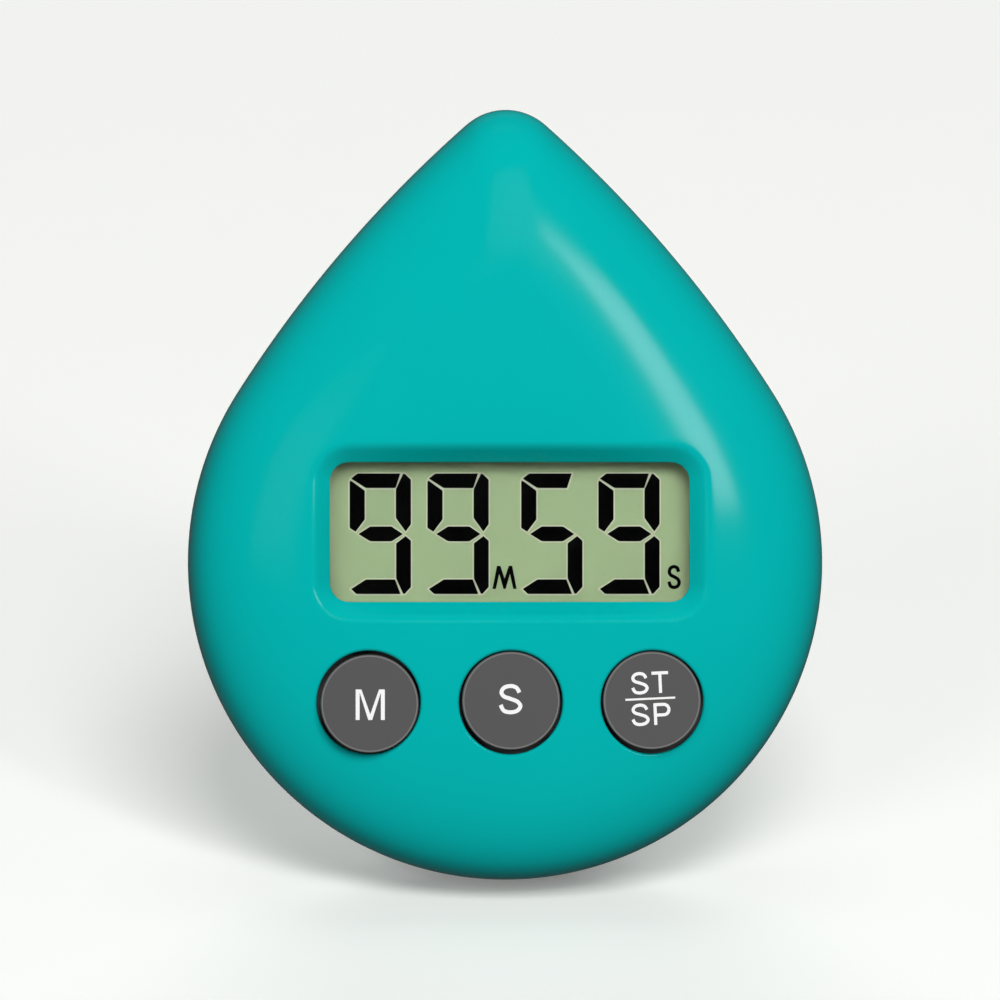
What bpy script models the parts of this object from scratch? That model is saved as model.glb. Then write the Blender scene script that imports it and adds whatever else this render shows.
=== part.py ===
"""A drop-shaped digital kitchen timer, standing on the folding stand behind it.

The timer is modelled lying on its back: x to the right, y up the face, z out of the face, with the parting
plane of its case at z = 0. The empty timer_frame then stands it up, leans it back and sets it on the table.
Sizes are in metres.
"""

import math

import bmesh
import bpy
from mathutils import Matrix, Vector

MM = 0.001

# Case
BODY_HEIGHT = 85.0 * MM
BELLY_RADIUS = 35.0 * MM
TIP_RADIUS = 6.5 * MM
FLANK_RADIUS = 140.0 * MM
FRONT_DEPTH = 13.0 * MM
CROWN_Y = 37.0 * MM
DOME_POWER = 3.4
BACK_SIDE = 3.5 * MM
WALL = 1.8 * MM
TONGUE = 0.9 * MM
TONGUE_REACH = 1.3 * MM
LEAN = math.radians(18)

# Window and display
WINDOW_WIDTH = 39.4 * MM
WINDOW_HEIGHT = 15.3 * MM
WINDOW_CORNER = 2.1 * MM
WINDOW_Y = 38.4 * MM
RECESS_BORDER = 2.35 * MM
RECESS_DEPTH = 2.2 * MM
WINDOW_LAND = 0.5 * MM
LENS_THICK = 0.8 * MM
LENS_BORDER = 1.5 * MM
GLASS_THICK = 1.1 * MM
GLASS_BORDER = 2.6 * MM
GLASS_LOWER_BORDER = 1.9 * MM
CONTACT_LEDGE = 1.9 * MM
REFLECTOR_THICK = 0.3 * MM
FRAME_RIB = 0.8 * MM
ZEBRA_HEIGHT = 2.4 * MM
ZEBRA_WIDTH = 1.4 * MM

# Buttons
BUTTON_PITCH = 15.5 * MM
BUTTON_Y = 19.8 * MM
CAP_RADIUS = 5.35 * MM
CAP_EDGE = 0.5 * MM
CAP_PROUD = 0.6 * MM
CAP_TRAVEL = 1.0 * MM
SEAT_DEPTH = 3.2 * MM
FLANGE_RADIUS = 6.1 * MM
FLANGE_THICK = 0.8 * MM
COLLAR_WALL = 1.4 * MM
KEY_WIDTH = 1.6 * MM
KEY_REACH = 0.8 * MM
DOME_FOOT_RADIUS = 4.9 * MM
DOME_FOOT = 0.6 * MM
DOME_RUBBER = 0.6 * MM
PLUNGER_RADIUS = 2.4 * MM
PILL_RADIUS = 1.5 * MM
PILL_THICK = 0.5 * MM

# Battery, its bay and its door
BATTERY_DIAMETER = 10.5 * MM
BATTERY_LENGTH = 44.5 * MM
NUB_RADIUS = 1.9 * MM
NUB_LENGTH = 0.8 * MM
BATTERY_Y = 45.0 * MM
BAY_SLACK = 0.25 * MM
BAY_WALL = 1.0 * MM
BAY_RIM = 1.9 * MM
LEAD_SPACE = 1.6 * MM
SPRING_SPACE = 3.2 * MM
SPRING_WIRE = 0.6 * MM
SPRING_BASE_RADIUS = 4.2 * MM
SPRING_TOP_RADIUS = 1.7 * MM
SPRING_TURNS = 2.5
CONTACT_THICK = 0.4 * MM
CONTACT_WIDTH = 9.0 * MM
TAIL_WIDTH = 3.0 * MM
DOOR_THICK = 1.4 * MM
DOOR_LAP = 1.2 * MM
DOOR_CORNER = 3.0 * MM
LUG_WIDTH = 5.0 * MM
LUG_X = 18.0 * MM
LUG_THICK = 1.2 * MM
LUG_REACH = 1.4 * MM
LATCH_WIDTH = 8.0 * MM
LATCH_THICK = 0.8 * MM
LATCH_REACH = 1.5 * MM
NAIL_NOTCH_RADIUS = 5.0 * MM
NAIL_NOTCH_DEPTH = 1.1 * MM

# Stand
STAND_WIDTH = 22.0 * MM
STAND_THICK = 2.2 * MM
STAND_HEEL = 2.4 * MM
STAND_FOOT_Y = 2.2 * MM
STAND_CORNER = 2.0 * MM
STAND_PIN_RADIUS = 0.8 * MM
STAND_PIN_REACH = 1.8 * MM
STAND_PIN_INSET = 1.5 * MM
STAND_SIDE_WALL = 3.0 * MM
STAND_TO_DOOR = 1.4 * MM
STOP_GAP = 0.15 * MM

# Magnets, buzzer and fasteners
MAGNET_RADIUS = 6.0 * MM
MAGNET_THICK = 3.0 * MM
MAGNET_PROUD = 0.1 * MM
MAGNET_X = 20.0 * MM
MAGNET_Y = 25.0 * MM
BUZZER_RADIUS = 10.0 * MM
BUZZER_THICK = 0.25 * MM
CERAMIC_RADIUS = 7.0 * MM
BUZZER_FROM_TIP = 12.5 * MM
BUZZER_RIB = 1.8 * MM
BUZZER_RIB_HEIGHT = 0.8 * MM
SOUND_HOLE_RADIUS = 0.8 * MM
SOUND_HOLE_RING = 4.0 * MM
SOUND_HOLES = 6
POST_RADIUS = 2.5 * MM
TUBE_RADIUS = 3.2 * MM
CASE_SCREW_RADIUS = 1.2 * MM
CASE_SCREW_HEAD = 2.0 * MM
CASE_SCREW_HEAD_HEIGHT = 1.6 * MM
CASE_SCREW_SUNK = 1.5 * MM
CASE_SCREW_LENGTH = 11.5 * MM
CASE_SCREW_FROM_RIM = 5.8 * MM
CASE_SCREW_ANGLE = math.radians(-59)
UPPER_SCREW_X = 14.0 * MM
UPPER_SCREW_FROM_TIP = 16.5 * MM
BOARD_THICK = 1.0 * MM
BOARD_FROM_RIM = 6.5 * MM
BOARD_BOSS_RADIUS = 2.2 * MM
BOARD_SCREW_RADIUS = 0.8 * MM
BOARD_SCREW_HEAD = 1.8 * MM
BOARD_SCREW_HEAD_HEIGHT = 1.2 * MM
BOARD_SCREW_GRIP = 4.5 * MM
SIDE_BOSS_FROM_GLASS = 3.1 * MM
SIDE_BOSS_Y = 33.0 * MM
LOWER_BOSS_Y = 10.8 * MM
BATTERY_LEAD_RADIUS = 0.5 * MM
BUZZER_LEAD_RADIUS = 0.4 * MM

# Clearances
PARTING_GAP = 0.3 * MM
FIT_GAP = 0.3 * MM
SEAT_GAP = 0.1 * MM
HOLE_GAP = 0.2 * MM
PAST = 12.0 * MM

# Fineness of curves
BELLY_STEPS = 15
FLANK_STEPS = 5
TIP_STEPS = 4
DOME_STEPS = 9
INNER_DOME_STEPS = 6
ROUND_STEPS = 4
CORNER_STEPS = 4
SIDES = 28
SMALL_SIDES = 16

# Heights along z that follow from the stack of pieces behind the window
RIM = PARTING_GAP / 2
APERTURE_Z = FRONT_DEPTH - RECESS_DEPTH
LENS_Z = APERTURE_Z - WINDOW_LAND - SEAT_GAP
FRONT_GLASS_Z = LENS_Z - LENS_THICK - SEAT_GAP
REAR_GLASS_Z = FRONT_GLASS_Z - GLASS_THICK - SEAT_GAP
REFLECTOR_Z = REAR_GLASS_Z - GLASS_THICK - SEAT_GAP
STACK_END_Z = REFLECTOR_Z - REFLECTOR_THICK
BOARD_Z = REAR_GLASS_Z - ZEBRA_HEIGHT - SEAT_GAP
BOARD_BACK_Z = BOARD_Z - BOARD_THICK
BAY_Z = STACK_END_Z - LEAD_SPACE
BAY_FLOOR_Z = BAY_Z - BAY_WALL
BATTERY_RADIUS = BATTERY_DIAMETER / 2
BATTERY_Z = BAY_FLOOR_Z - FIT_GAP - BATTERY_RADIUS
DOOR_Z = BATTERY_Z - BATTERY_RADIUS - FIT_GAP
BACK_DEPTH = DOOR_THICK - DOOR_Z
BACK_INNER_Z = WALL - BACK_DEPTH
BACK_ROUND = BACK_DEPTH - BACK_SIDE

# Heights of the button stack
BUTTON_SEAT_Z = FRONT_DEPTH - SEAT_DEPTH
FLANGE_Z = BUTTON_SEAT_Z - FIT_GAP
FLANGE_BACK_Z = FLANGE_Z - FLANGE_THICK
DOME_TOP_Z = FLANGE_BACK_Z - FIT_GAP
DOME_FOOT_Z = BOARD_Z + SEAT_GAP
PILL_Z = BOARD_Z + CAP_TRAVEL + SEAT_GAP

# Places up and across the face
TIP_Y = BODY_HEIGHT - TIP_RADIUS
GLASS_HALF_WIDTH = WINDOW_WIDTH / 2 + GLASS_BORDER
GLASS_TOP_Y = WINDOW_Y + WINDOW_HEIGHT / 2 + GLASS_BORDER
REAR_GLASS_LOW_Y = WINDOW_Y - WINDOW_HEIGHT / 2 - GLASS_LOWER_BORDER
FRONT_GLASS_LOW_Y = REAR_GLASS_LOW_Y - CONTACT_LEDGE
BAY_HALF_HEIGHT = BATTERY_RADIUS + BAY_SLACK
BAY_HALF_LENGTH = (BATTERY_LENGTH + SPRING_SPACE) / 2 + FIT_GAP + CONTACT_THICK + SEAT_GAP
CONTACT_X = BAY_HALF_LENGTH - SEAT_GAP
BATTERY_END_X = CONTACT_X - CONTACT_THICK - FIT_GAP
DOOR_HALF_HEIGHT = BAY_HALF_HEIGHT + DOOR_LAP
DOOR_HALF_LENGTH = BAY_HALF_LENGTH + DOOR_LAP
DOOR_LOW_Y = BATTERY_Y - DOOR_HALF_HEIGHT
DOOR_HINGE_Y = DOOR_LOW_Y + DOOR_THICK / 2
DOOR_HINGE_Z = DOOR_Z - DOOR_THICK / 2
BAY_LOW_Y = BATTERY_Y - BAY_HALF_HEIGHT - BAY_RIM
BOARD_RADIUS = BELLY_RADIUS - BOARD_FROM_RIM
BOARD_TOP_Y = BAY_LOW_Y - 2 * FIT_GAP
HINGE_Z = STAND_PIN_INSET - BACK_DEPTH
STAND_INNER = STAND_THICK - STAND_PIN_INSET
HEEL_SWEEP = math.hypot(STAND_HEEL, max(STAND_PIN_INSET, STAND_INNER)) + FIT_GAP
HINGE_Y = DOOR_LOW_Y - FIT_GAP - STAND_TO_DOOR - HEEL_SWEEP
STAND_LENGTH = HINGE_Y - STAND_FOOT_Y
STAND_FLOOR_Z = HINGE_Z + STAND_INNER + FIT_GAP
BUZZER_Y = TIP_Y - BUZZER_FROM_TIP
BUZZER_Z = BACK_INNER_Z + BUZZER_RIB_HEIGHT + SEAT_GAP
SCREW_SEAT_Z = CASE_SCREW_SUNK + CASE_SCREW_HEAD_HEIGHT - BACK_DEPTH

BUTTONS = {"minute": -BUTTON_PITCH, "second": 0.0, "start_stop": BUTTON_PITCH}
KEY_SIDES = {"minute": 1, "second": 1, "start_stop": -1}
LOWER_SCREW_REACH = BELLY_RADIUS - CASE_SCREW_FROM_RIM
LOWER_SCREW_X = LOWER_SCREW_REACH * math.cos(CASE_SCREW_ANGLE)
LOWER_SCREW_Y = BELLY_RADIUS + LOWER_SCREW_REACH * math.sin(CASE_SCREW_ANGLE)
UPPER_SCREW_Y = TIP_Y - UPPER_SCREW_FROM_TIP
CASE_SCREWS = {
    "upper_left": (-UPPER_SCREW_X, UPPER_SCREW_Y),
    "upper_right": (UPPER_SCREW_X, UPPER_SCREW_Y),
    "lower_left": (-LOWER_SCREW_X, LOWER_SCREW_Y),
    "lower_right": (LOWER_SCREW_X, LOWER_SCREW_Y),
}
SIDE_BOSS_X = GLASS_HALF_WIDTH + SIDE_BOSS_FROM_GLASS
BOARD_SCREWS = {
    "left": (-SIDE_BOSS_X, SIDE_BOSS_Y),
    "right": (SIDE_BOSS_X, SIDE_BOSS_Y),
    "lower": (0.0, LOWER_BOSS_Y),
}


# Scene, collections and materials


def clear_scene():
    for obj in list(bpy.data.objects):
        bpy.data.objects.remove(obj)


def new_collection(name):
    collection = bpy.data.collections.new(name)
    bpy.context.scene.collection.children.link(collection)
    return collection


def finish(name, colour, roughness, metallic=0.0):
    made = bpy.data.materials.new(name)
    made.use_nodes = True
    shader = made.node_tree.nodes["Principled BSDF"]
    shader.inputs["Base Color"].default_value = (*colour, 1.0)
    shader.inputs["Roughness"].default_value = roughness
    shader.inputs["Metallic"].default_value = metallic
    return made


clear_scene()
PARTS = new_collection("digital_timer")
CUTTERS = new_collection("cutters")
FRAME = bpy.data.objects.new("timer_frame", None)
PARTS.objects.link(FRAME)

TEAL = finish("teal_plastic", (0.0, 0.46, 0.44), 0.35)
GREY = finish("grey_plastic", (0.1, 0.1, 0.1), 0.45)
CLEAR = finish("clear_plastic", (0.9, 0.93, 0.92), 0.05)
GLASS = finish("display_glass", (0.3, 0.4, 0.25), 0.1)
FILM = finish("reflector_film", (0.3, 0.4, 0.24), 0.4)
RUBBER = finish("silicone_rubber", (0.55, 0.55, 0.52), 0.7)
CARBON = finish("carbon", (0.02, 0.02, 0.02), 0.8)
BOARD = finish("board_laminate", (0.03, 0.2, 0.08), 0.5)
EPOXY = finish("black_epoxy", (0.01, 0.01, 0.01), 0.3)
STEEL = finish("bright_steel", (0.6, 0.6, 0.58), 0.3, 1.0)
BRASS = finish("brass", (0.7, 0.5, 0.2), 0.35, 1.0)
CERAMIC = finish("white_ceramic", (0.75, 0.74, 0.7), 0.5)
FERRITE = finish("dark_ferrite", (0.05, 0.05, 0.055), 0.6)
JACKET = finish("battery_jacket", (0.08, 0.08, 0.09), 0.3)
RED = finish("red_insulation", (0.5, 0.02, 0.02), 0.5)
BLACK = finish("black_insulation", (0.02, 0.02, 0.02), 0.5)


# Shape helpers


def add_object(name, shape, look=None, place=(0, 0, 0), group=None):
    """Adds a mesh to the timer: a part when it has a look, and otherwise a cutter."""
    obj = bpy.data.objects.new(name, shape)
    obj.location = place
    obj.parent = FRAME
    if look:
        shape.materials.append(look)
        PARTS.objects.link(obj)
    else:
        obj.hide_render = True
        obj.display_type = "WIRE"
        (group or CUTTERS).objects.link(obj)
    return obj


def mesh_from(name, edit):
    bmesh.ops.recalc_face_normals(edit, faces=edit.faces)
    shape = bpy.data.meshes.new(name)
    edit.to_mesh(shape)
    edit.free()
    shape.shade_smooth()
    shape.set_sharp_from_angle(angle=math.radians(35))
    return shape


def loft(name, rings, look=None, group=None, place=(0, 0, 0)):
    """A closed solid over rings of equal point count, with a flat cap at each end."""
    edit = bmesh.new()
    loops = [[edit.verts.new(point) for point in ring] for ring in rings]
    for near, far in zip(loops, loops[1:]):
        for i, corner in enumerate(near):
            j = (i + 1) % len(near)
            edit.faces.new((corner, near[j], far[j], far[i]))
    edit.faces.new(loops[0])
    edit.faces.new(loops[-1])
    return add_object(name, mesh_from(name, edit), look, place, group)


def at_height(outline, z):
    return [(x, y, z) for x, y in outline]


def plate(name, outline, low, high, look=None, group=None, place=(0, 0, 0)):
    return loft(name, [at_height(outline, low), at_height(outline, high)], look, group, place)


def disc(name, centre, radius, low, high, look=None, group=None, sides=SIDES):
    edit = bmesh.new()
    bmesh.ops.create_cone(
        edit,
        cap_ends=True,
        segments=sides,
        radius1=radius,
        radius2=radius,
        depth=high - low,
        matrix=Matrix.Translation((0, 0, (low + high) / 2)),
    )
    return add_object(name, mesh_from(name, edit), look, (*centre, 0), group)


def rod(name, place, radius, half_length, look=None, group=None):
    """A round rod along x."""
    edit = bmesh.new()
    bmesh.ops.create_cone(
        edit,
        cap_ends=True,
        segments=SMALL_SIDES,
        radius1=radius,
        radius2=radius,
        depth=2 * half_length,
        matrix=Matrix.Rotation(math.pi / 2, 4, "Y"),
    )
    return add_object(name, mesh_from(name, edit), look, place, group)


def block(name, low, high, look=None, group=None):
    """A box between two opposite corners."""
    size = Vector(high) - Vector(low)
    edit = bmesh.new()
    bmesh.ops.create_cube(edit, size=1, matrix=Matrix.Diagonal((*size, 1)))
    return add_object(name, mesh_from(name, edit), look, (Vector(low) + Vector(high)) / 2, group)


def turned(name, profile, place, look=None, group=None, ring=False, sides=SIDES):
    """A profile of (radius, z) points, given down its outer side, turned about z."""
    points = [(radius, 0, z) for radius, z in profile]
    edges = [(i, i + 1) for i in range(len(points) - 1)]
    if ring:
        edges.append((len(points) - 1, 0))
    shape = bpy.data.meshes.new(name)
    shape.from_pydata(points, edges, [])
    obj = add_object(name, shape, look, place, group)
    spin = obj.modifiers.new("turn", "SCREW")
    spin.steps = sides
    spin.render_steps = sides
    spin.use_merge_vertices = True
    spin.merge_threshold = 0.00001
    return obj


def combine(obj, operation, other):
    """Cuts, joins or trims obj by another object, or by every object of a collection."""
    step = obj.modifiers.new(operation.lower(), "BOOLEAN")
    step.operation = operation
    if isinstance(other, bpy.types.Collection):
        step.operand_type = "COLLECTION"
        step.collection = other
    else:
        step.object = other


def cutter_group(name):
    group = bpy.data.collections.new(name)
    CUTTERS.children.link(group)
    return group


def arc(centre_x, centre_y, radius, angles):
    return [(centre_x + radius * math.cos(a), centre_y + radius * math.sin(a)) for a in angles]


def spread(start, end, count):
    return [start + (end - start) * i / (count - 1) for i in range(count)]


def rounded_rectangle(width, height, radius, centre_y):
    """Points anticlockwise round a rectangle with round corners, centred across the face."""
    points = []
    for quarter, (side, up) in enumerate(((1, 1), (-1, 1), (-1, -1), (1, -1))):
        turn = quarter * math.pi / 2
        points += arc(
            side * (width / 2 - radius),
            centre_y + up * (height / 2 - radius),
            radius,
            spread(turn, turn + math.pi / 2, CORNER_STEPS + 1),
        )
    return points


# Outline and domes of the case


def flank_centre():
    """Centre of the right flank's arc, which holds the belly and tip circles and touches both."""
    belly_gap = FLANK_RADIUS - BELLY_RADIUS
    tip_gap = FLANK_RADIUS - TIP_RADIUS
    span = TIP_Y - BELLY_RADIUS
    along = (belly_gap**2 - tip_gap**2 + span**2) / (2 * span)
    return -math.sqrt(belly_gap**2 - along**2), BELLY_RADIUS + along


def drop_outline(inset=0.0):
    """The drop's outline moved inwards, anticlockwise, with a short flat at the bottom and at the tip."""
    flank_x, flank_y = flank_centre()
    belly_end = math.atan2(BELLY_RADIUS - flank_y, -flank_x)
    tip_start = math.atan2(TIP_Y - flank_y, -flank_x)
    belly_step = (belly_end + math.pi / 2) / (BELLY_STEPS - 0.5)
    tip_step = (math.pi / 2 - tip_start) / (TIP_STEPS - 0.5)
    belly_angles = [-math.pi / 2 + (i + 0.5) * belly_step for i in range(BELLY_STEPS)]
    flank_angles = spread(belly_end, tip_start, FLANK_STEPS + 1)[1:]
    tip_angles = [tip_start + i * tip_step for i in range(1, TIP_STEPS)]
    right = arc(0, BELLY_RADIUS, BELLY_RADIUS - inset, belly_angles)
    right += arc(flank_x, flank_y, FLANK_RADIUS - inset, flank_angles)
    right += arc(0, TIP_Y, TIP_RADIUS - inset, tip_angles)
    return right + [(-x, y) for x, y in reversed(right)]


def outline_reach(angle, outline):
    """Distance from the crown to an outline, in one direction."""
    ray = Vector((math.cos(angle), math.sin(angle)))
    corners = [Vector((x, y - CROWN_Y)) for x, y in outline]
    for start, end in zip(corners, corners[1:] + corners[:1]):
        side = end - start
        turn = ray.cross(side)
        if turn > 0 and 0 <= start.cross(ray) <= turn:
            return start.cross(side) / turn
    return BELLY_RADIUS


def rounded_reach():
    """The three longest waves of the outline's reach: the rounder form that contours take towards the crown."""
    outline = drop_outline()
    angles = spread(0, 2 * math.pi, 361)[:-1]
    reaches = [outline_reach(angle, outline) for angle in angles]
    mean = sum(reaches) / len(reaches)
    rise = 2 * sum(r * math.sin(a) for r, a in zip(reaches, angles)) / len(reaches)
    stretch = 2 * sum(r * math.cos(2 * a) for r, a in zip(reaches, angles)) / len(reaches)
    return mean, rise, stretch


MEAN_REACH, REACH_RISE, REACH_STRETCH = rounded_reach()


def contour_reach(angle, edge, share, inset=0.0):
    """Distance from the crown to the contour at a share of the way out to the edge."""
    rounded = MEAN_REACH + REACH_RISE * math.sin(angle) + REACH_STRETCH * math.cos(2 * angle) - inset
    return share * (rounded + (edge - rounded) * share * share * (3 - 2 * share))


def dome_rings(inset, depth, steps):
    """Rings of the front's crowned face, from near the crown out to the rim."""
    rays = [(math.atan2(y - CROWN_Y, x), math.hypot(x, y - CROWN_Y)) for x, y in drop_outline(inset)]
    rings = []
    for i in range(1, steps + 1):
        turn = math.pi / 2 * i / steps
        share = math.sin(turn) ** (2 / DOME_POWER)
        z = RIM + (depth - RIM) * math.cos(turn) ** (2 / DOME_POWER)
        ring = []
        for angle, edge in rays:
            reach = contour_reach(angle, edge, share, inset)
            ring.append((reach * math.cos(angle), CROWN_Y + reach * math.sin(angle), z))
        rings.append(ring)
    return rings


def dome_height(x, y):
    """Height of the front's outer face above the parting plane at a point of the face."""
    angle = math.atan2(y - CROWN_Y, x)
    edge = outline_reach(angle, drop_outline())
    low, high = 0.0, 1.0
    for _ in range(40):
        middle = (low + high) / 2
        if contour_reach(angle, edge, middle) < math.hypot(x, y - CROWN_Y):
            low = middle
        else:
            high = middle
    return RIM + (FRONT_DEPTH - RIM) * (1 - low**DOME_POWER) ** (1 / DOME_POWER)


def back_rings(inset):
    """Rings of the back's form, from its flat face to the parting plane."""
    radius = BACK_ROUND - inset
    rings = []
    for angle in reversed(spread(0, math.pi / 2, ROUND_STEPS + 1)):
        outline = drop_outline(inset + radius * (1 - math.cos(angle)))
        rings.append(at_height(outline, -BACK_SIDE - radius * math.sin(angle)))
    return rings


def door_outline(gap):
    """The battery door's outline moved outwards: square at its hinge edge, and round at its free corners."""
    side = DOOR_HALF_LENGTH + gap
    top = BATTERY_Y + DOOR_HALF_HEIGHT + gap
    radius = DOOR_CORNER + gap
    low_y = DOOR_LOW_Y - gap
    right = arc(side - radius, top - radius, radius, spread(0, math.pi / 2, CORNER_STEPS + 1))
    return [(-side, low_y), (side, low_y), *right, *[(-x, y) for x, y in reversed(right)]]


# Stand geometry, folded against the back, about its hinge axis


def stand_profile():
    """Side outline of the stand as (y, z) points about the hinge axis, with a round foot and a round heel."""
    radius = STAND_THICK / 2
    middle = STAND_INNER - radius
    foot = arc(radius - STAND_LENGTH, middle, radius, spread(math.pi / 2, math.pi * 1.5, 9))
    heel = arc(STAND_HEEL - radius, middle, radius, spread(-math.pi / 2, math.pi / 2, 9))
    return foot + heel


def leaned_height(y, z):
    return y * math.cos(LEAN) + z * math.sin(LEAN)


def foot_height(angle):
    """Lowest point of the stand, opened by an angle, on the leaned timer."""
    turn = Matrix.Rotation(angle, 2)
    turned_points = [turn @ Vector(point) for point in stand_profile()]
    return min(leaned_height(HINGE_Y + p.x, HINGE_Z + p.y) for p in turned_points)


def stand_opening():
    """The angle at which the opened stand's foot reaches the table that the leaned case stands on."""
    table = min(leaned_height(y, z) for ring in back_rings(0) for x, y, z in ring)
    low, high = LEAN, math.pi / 2
    for _ in range(50):
        middle = (low + high) / 2
        if foot_height(middle) < table:
            low = middle
        else:
            high = middle
    return low


STAND_OPEN = stand_opening()
HEEL_DEPTH = STAND_HEEL * math.sin(STAND_OPEN) + STAND_INNER * math.cos(STAND_OPEN)
HEEL_FLOOR_Z = HINGE_Z + HEEL_DEPTH + STOP_GAP


# Front shell


def make_front_shell():
    shell = loft("front_shell", dome_rings(0, FRONT_DEPTH, DOME_STEPS), TEAL)
    inner_rings = dome_rings(WALL, FRONT_DEPTH - WALL, INNER_DOME_STEPS)
    inner_rings.append([(x, y, -PAST) for x, y, _ in inner_rings[-1]])
    cavity = loft("front_cavity", inner_rings)
    combine(cavity, "DIFFERENCE", front_posts())
    combine(shell, "DIFFERENCE", cavity)
    combine(shell, "DIFFERENCE", front_cuts())


def front_posts():
    """What the cavity leaves standing inside the front: screw posts, display frame and button collars."""
    group = cutter_group("front_posts")
    for name, place in CASE_SCREWS.items():
        disc(f"post_{name}", place, POST_RADIUS, RIM, FRONT_DEPTH, group=group, sides=SMALL_SIDES)
    for name, place in BOARD_SCREWS.items():
        low = BOARD_Z + SEAT_GAP
        disc(f"boss_{name}", place, BOARD_BOSS_RADIUS, low, FRONT_DEPTH, group=group, sides=SMALL_SIDES)
    side = GLASS_HALF_WIDTH + FIT_GAP + FRAME_RIB
    low = (-side, FRONT_GLASS_LOW_Y - FIT_GAP - FRAME_RIB, STACK_END_Z)
    high = (side, GLASS_TOP_Y + FIT_GAP + FRAME_RIB, FRONT_DEPTH)
    block("display_frame", low, high, group=group)
    for name, x in BUTTONS.items():
        radius = CAP_RADIUS + FIT_GAP + COLLAR_WALL
        disc(f"collar_{name}", (x, BUTTON_Y), radius, BUTTON_SEAT_Z, FRONT_DEPTH, group=group)
    return group


def window_rings():
    """Rings of the coved cut from the window's edge out to the crowned face."""
    rings = [
        at_height(rounded_rectangle(WINDOW_WIDTH, WINDOW_HEIGHT, WINDOW_CORNER, WINDOW_Y), z)
        for z in (FRONT_GLASS_Z, APERTURE_Z)
    ]
    for share, rise in ((0.25, 0.45), (0.6, 0.85), (1.0, 1.0)):
        border = RECESS_BORDER * share
        outline = rounded_rectangle(
            WINDOW_WIDTH + 2 * border, WINDOW_HEIGHT + 2 * border, WINDOW_CORNER + border, WINDOW_Y
        )
        rings.append([(x, y, APERTURE_Z + rise * (dome_height(x, y) - APERTURE_Z)) for x, y in outline])
    rings.append([(x, y, FRONT_DEPTH + PAST) for x, y, _ in rings[-1]])
    return rings


def front_cuts():
    group = cutter_group("front_cuts")
    loft("window_cut", window_rings(), group=group)
    lens_pocket = rounded_rectangle(
        WINDOW_WIDTH + 2 * (LENS_BORDER + FIT_GAP),
        WINDOW_HEIGHT + 2 * (LENS_BORDER + FIT_GAP),
        WINDOW_CORNER,
        WINDOW_Y,
    )
    plate("lens_pocket", lens_pocket, BAY_Z, APERTURE_Z - WINDOW_LAND, group=group)
    side = GLASS_HALF_WIDTH + FIT_GAP
    low = (-side, FRONT_GLASS_LOW_Y - FIT_GAP, BAY_Z)
    high = (side, GLASS_TOP_Y + FIT_GAP, FRONT_GLASS_Z + SEAT_GAP / 2)
    block("glass_pocket", low, high, group=group)
    for name, x in BUTTONS.items():
        centre = (x, BUTTON_Y)
        disc(f"hole_{name}", centre, CAP_RADIUS + FIT_GAP, BAY_Z, FRONT_DEPTH + PAST, group=group)
        disc(f"well_{name}", centre, FLANGE_RADIUS + FIT_GAP, BAY_Z, BUTTON_SEAT_Z, group=group)
        key_end = KEY_SIDES[name] * (FLANGE_RADIUS + KEY_REACH + FIT_GAP)
        half = KEY_WIDTH / 2 + FIT_GAP
        low = (x + min(0, key_end), BUTTON_Y - half, BAY_Z)
        high = (x + max(0, key_end), BUTTON_Y + half, FLANGE_Z + FIT_GAP)
        block(f"key_slot_{name}", low, high, group=group)
    for name, place in CASE_SCREWS.items():
        top = SCREW_SEAT_Z + CASE_SCREW_LENGTH + FIT_GAP
        radius = CASE_SCREW_RADIUS + HOLE_GAP
        disc(f"pilot_{name}", place, radius, -PAST, top, group=group, sides=SMALL_SIDES)
    for name, place in BOARD_SCREWS.items():
        top = BOARD_BACK_Z + BOARD_SCREW_GRIP + FIT_GAP
        radius = BOARD_SCREW_RADIUS + HOLE_GAP
        disc(f"board_pilot_{name}", place, radius, BAY_Z, top, group=group, sides=SMALL_SIDES)
    return group


# Back cover


def make_back_cover():
    rim_outline = drop_outline()
    cover = loft("back_cover", [*back_rings(0), at_height(rim_outline, -RIM)], TEAL)
    tongue_outline = drop_outline(WALL + FIT_GAP)
    combine(cover, "UNION", plate("cover_tongue", tongue_outline, -2 * WALL, TONGUE_REACH))
    inner_outline = drop_outline(WALL + FIT_GAP + TONGUE)
    cavity_rings = back_rings(WALL)
    cavity_rings.append(at_height(drop_outline(WALL), -3 * WALL / 2))
    cavity_rings.append(at_height(inner_outline, -WALL))
    cavity_rings.append(at_height(inner_outline, PAST))
    cavity = loft("back_cavity", cavity_rings)
    combine(cavity, "DIFFERENCE", cover_posts())
    combine(cover, "DIFFERENCE", cavity)
    bay_side = BAY_HALF_LENGTH + BAY_RIM
    bay_low = (-bay_side, BAY_LOW_Y, BACK_INNER_Z - WALL / 2)
    bay_high = (bay_side, BATTERY_Y + BAY_HALF_HEIGHT + BAY_RIM, BAY_Z)
    combine(cover, "UNION", block("bay_block", bay_low, bay_high))
    combine(cover, "DIFFERENCE", cover_cuts())


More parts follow.
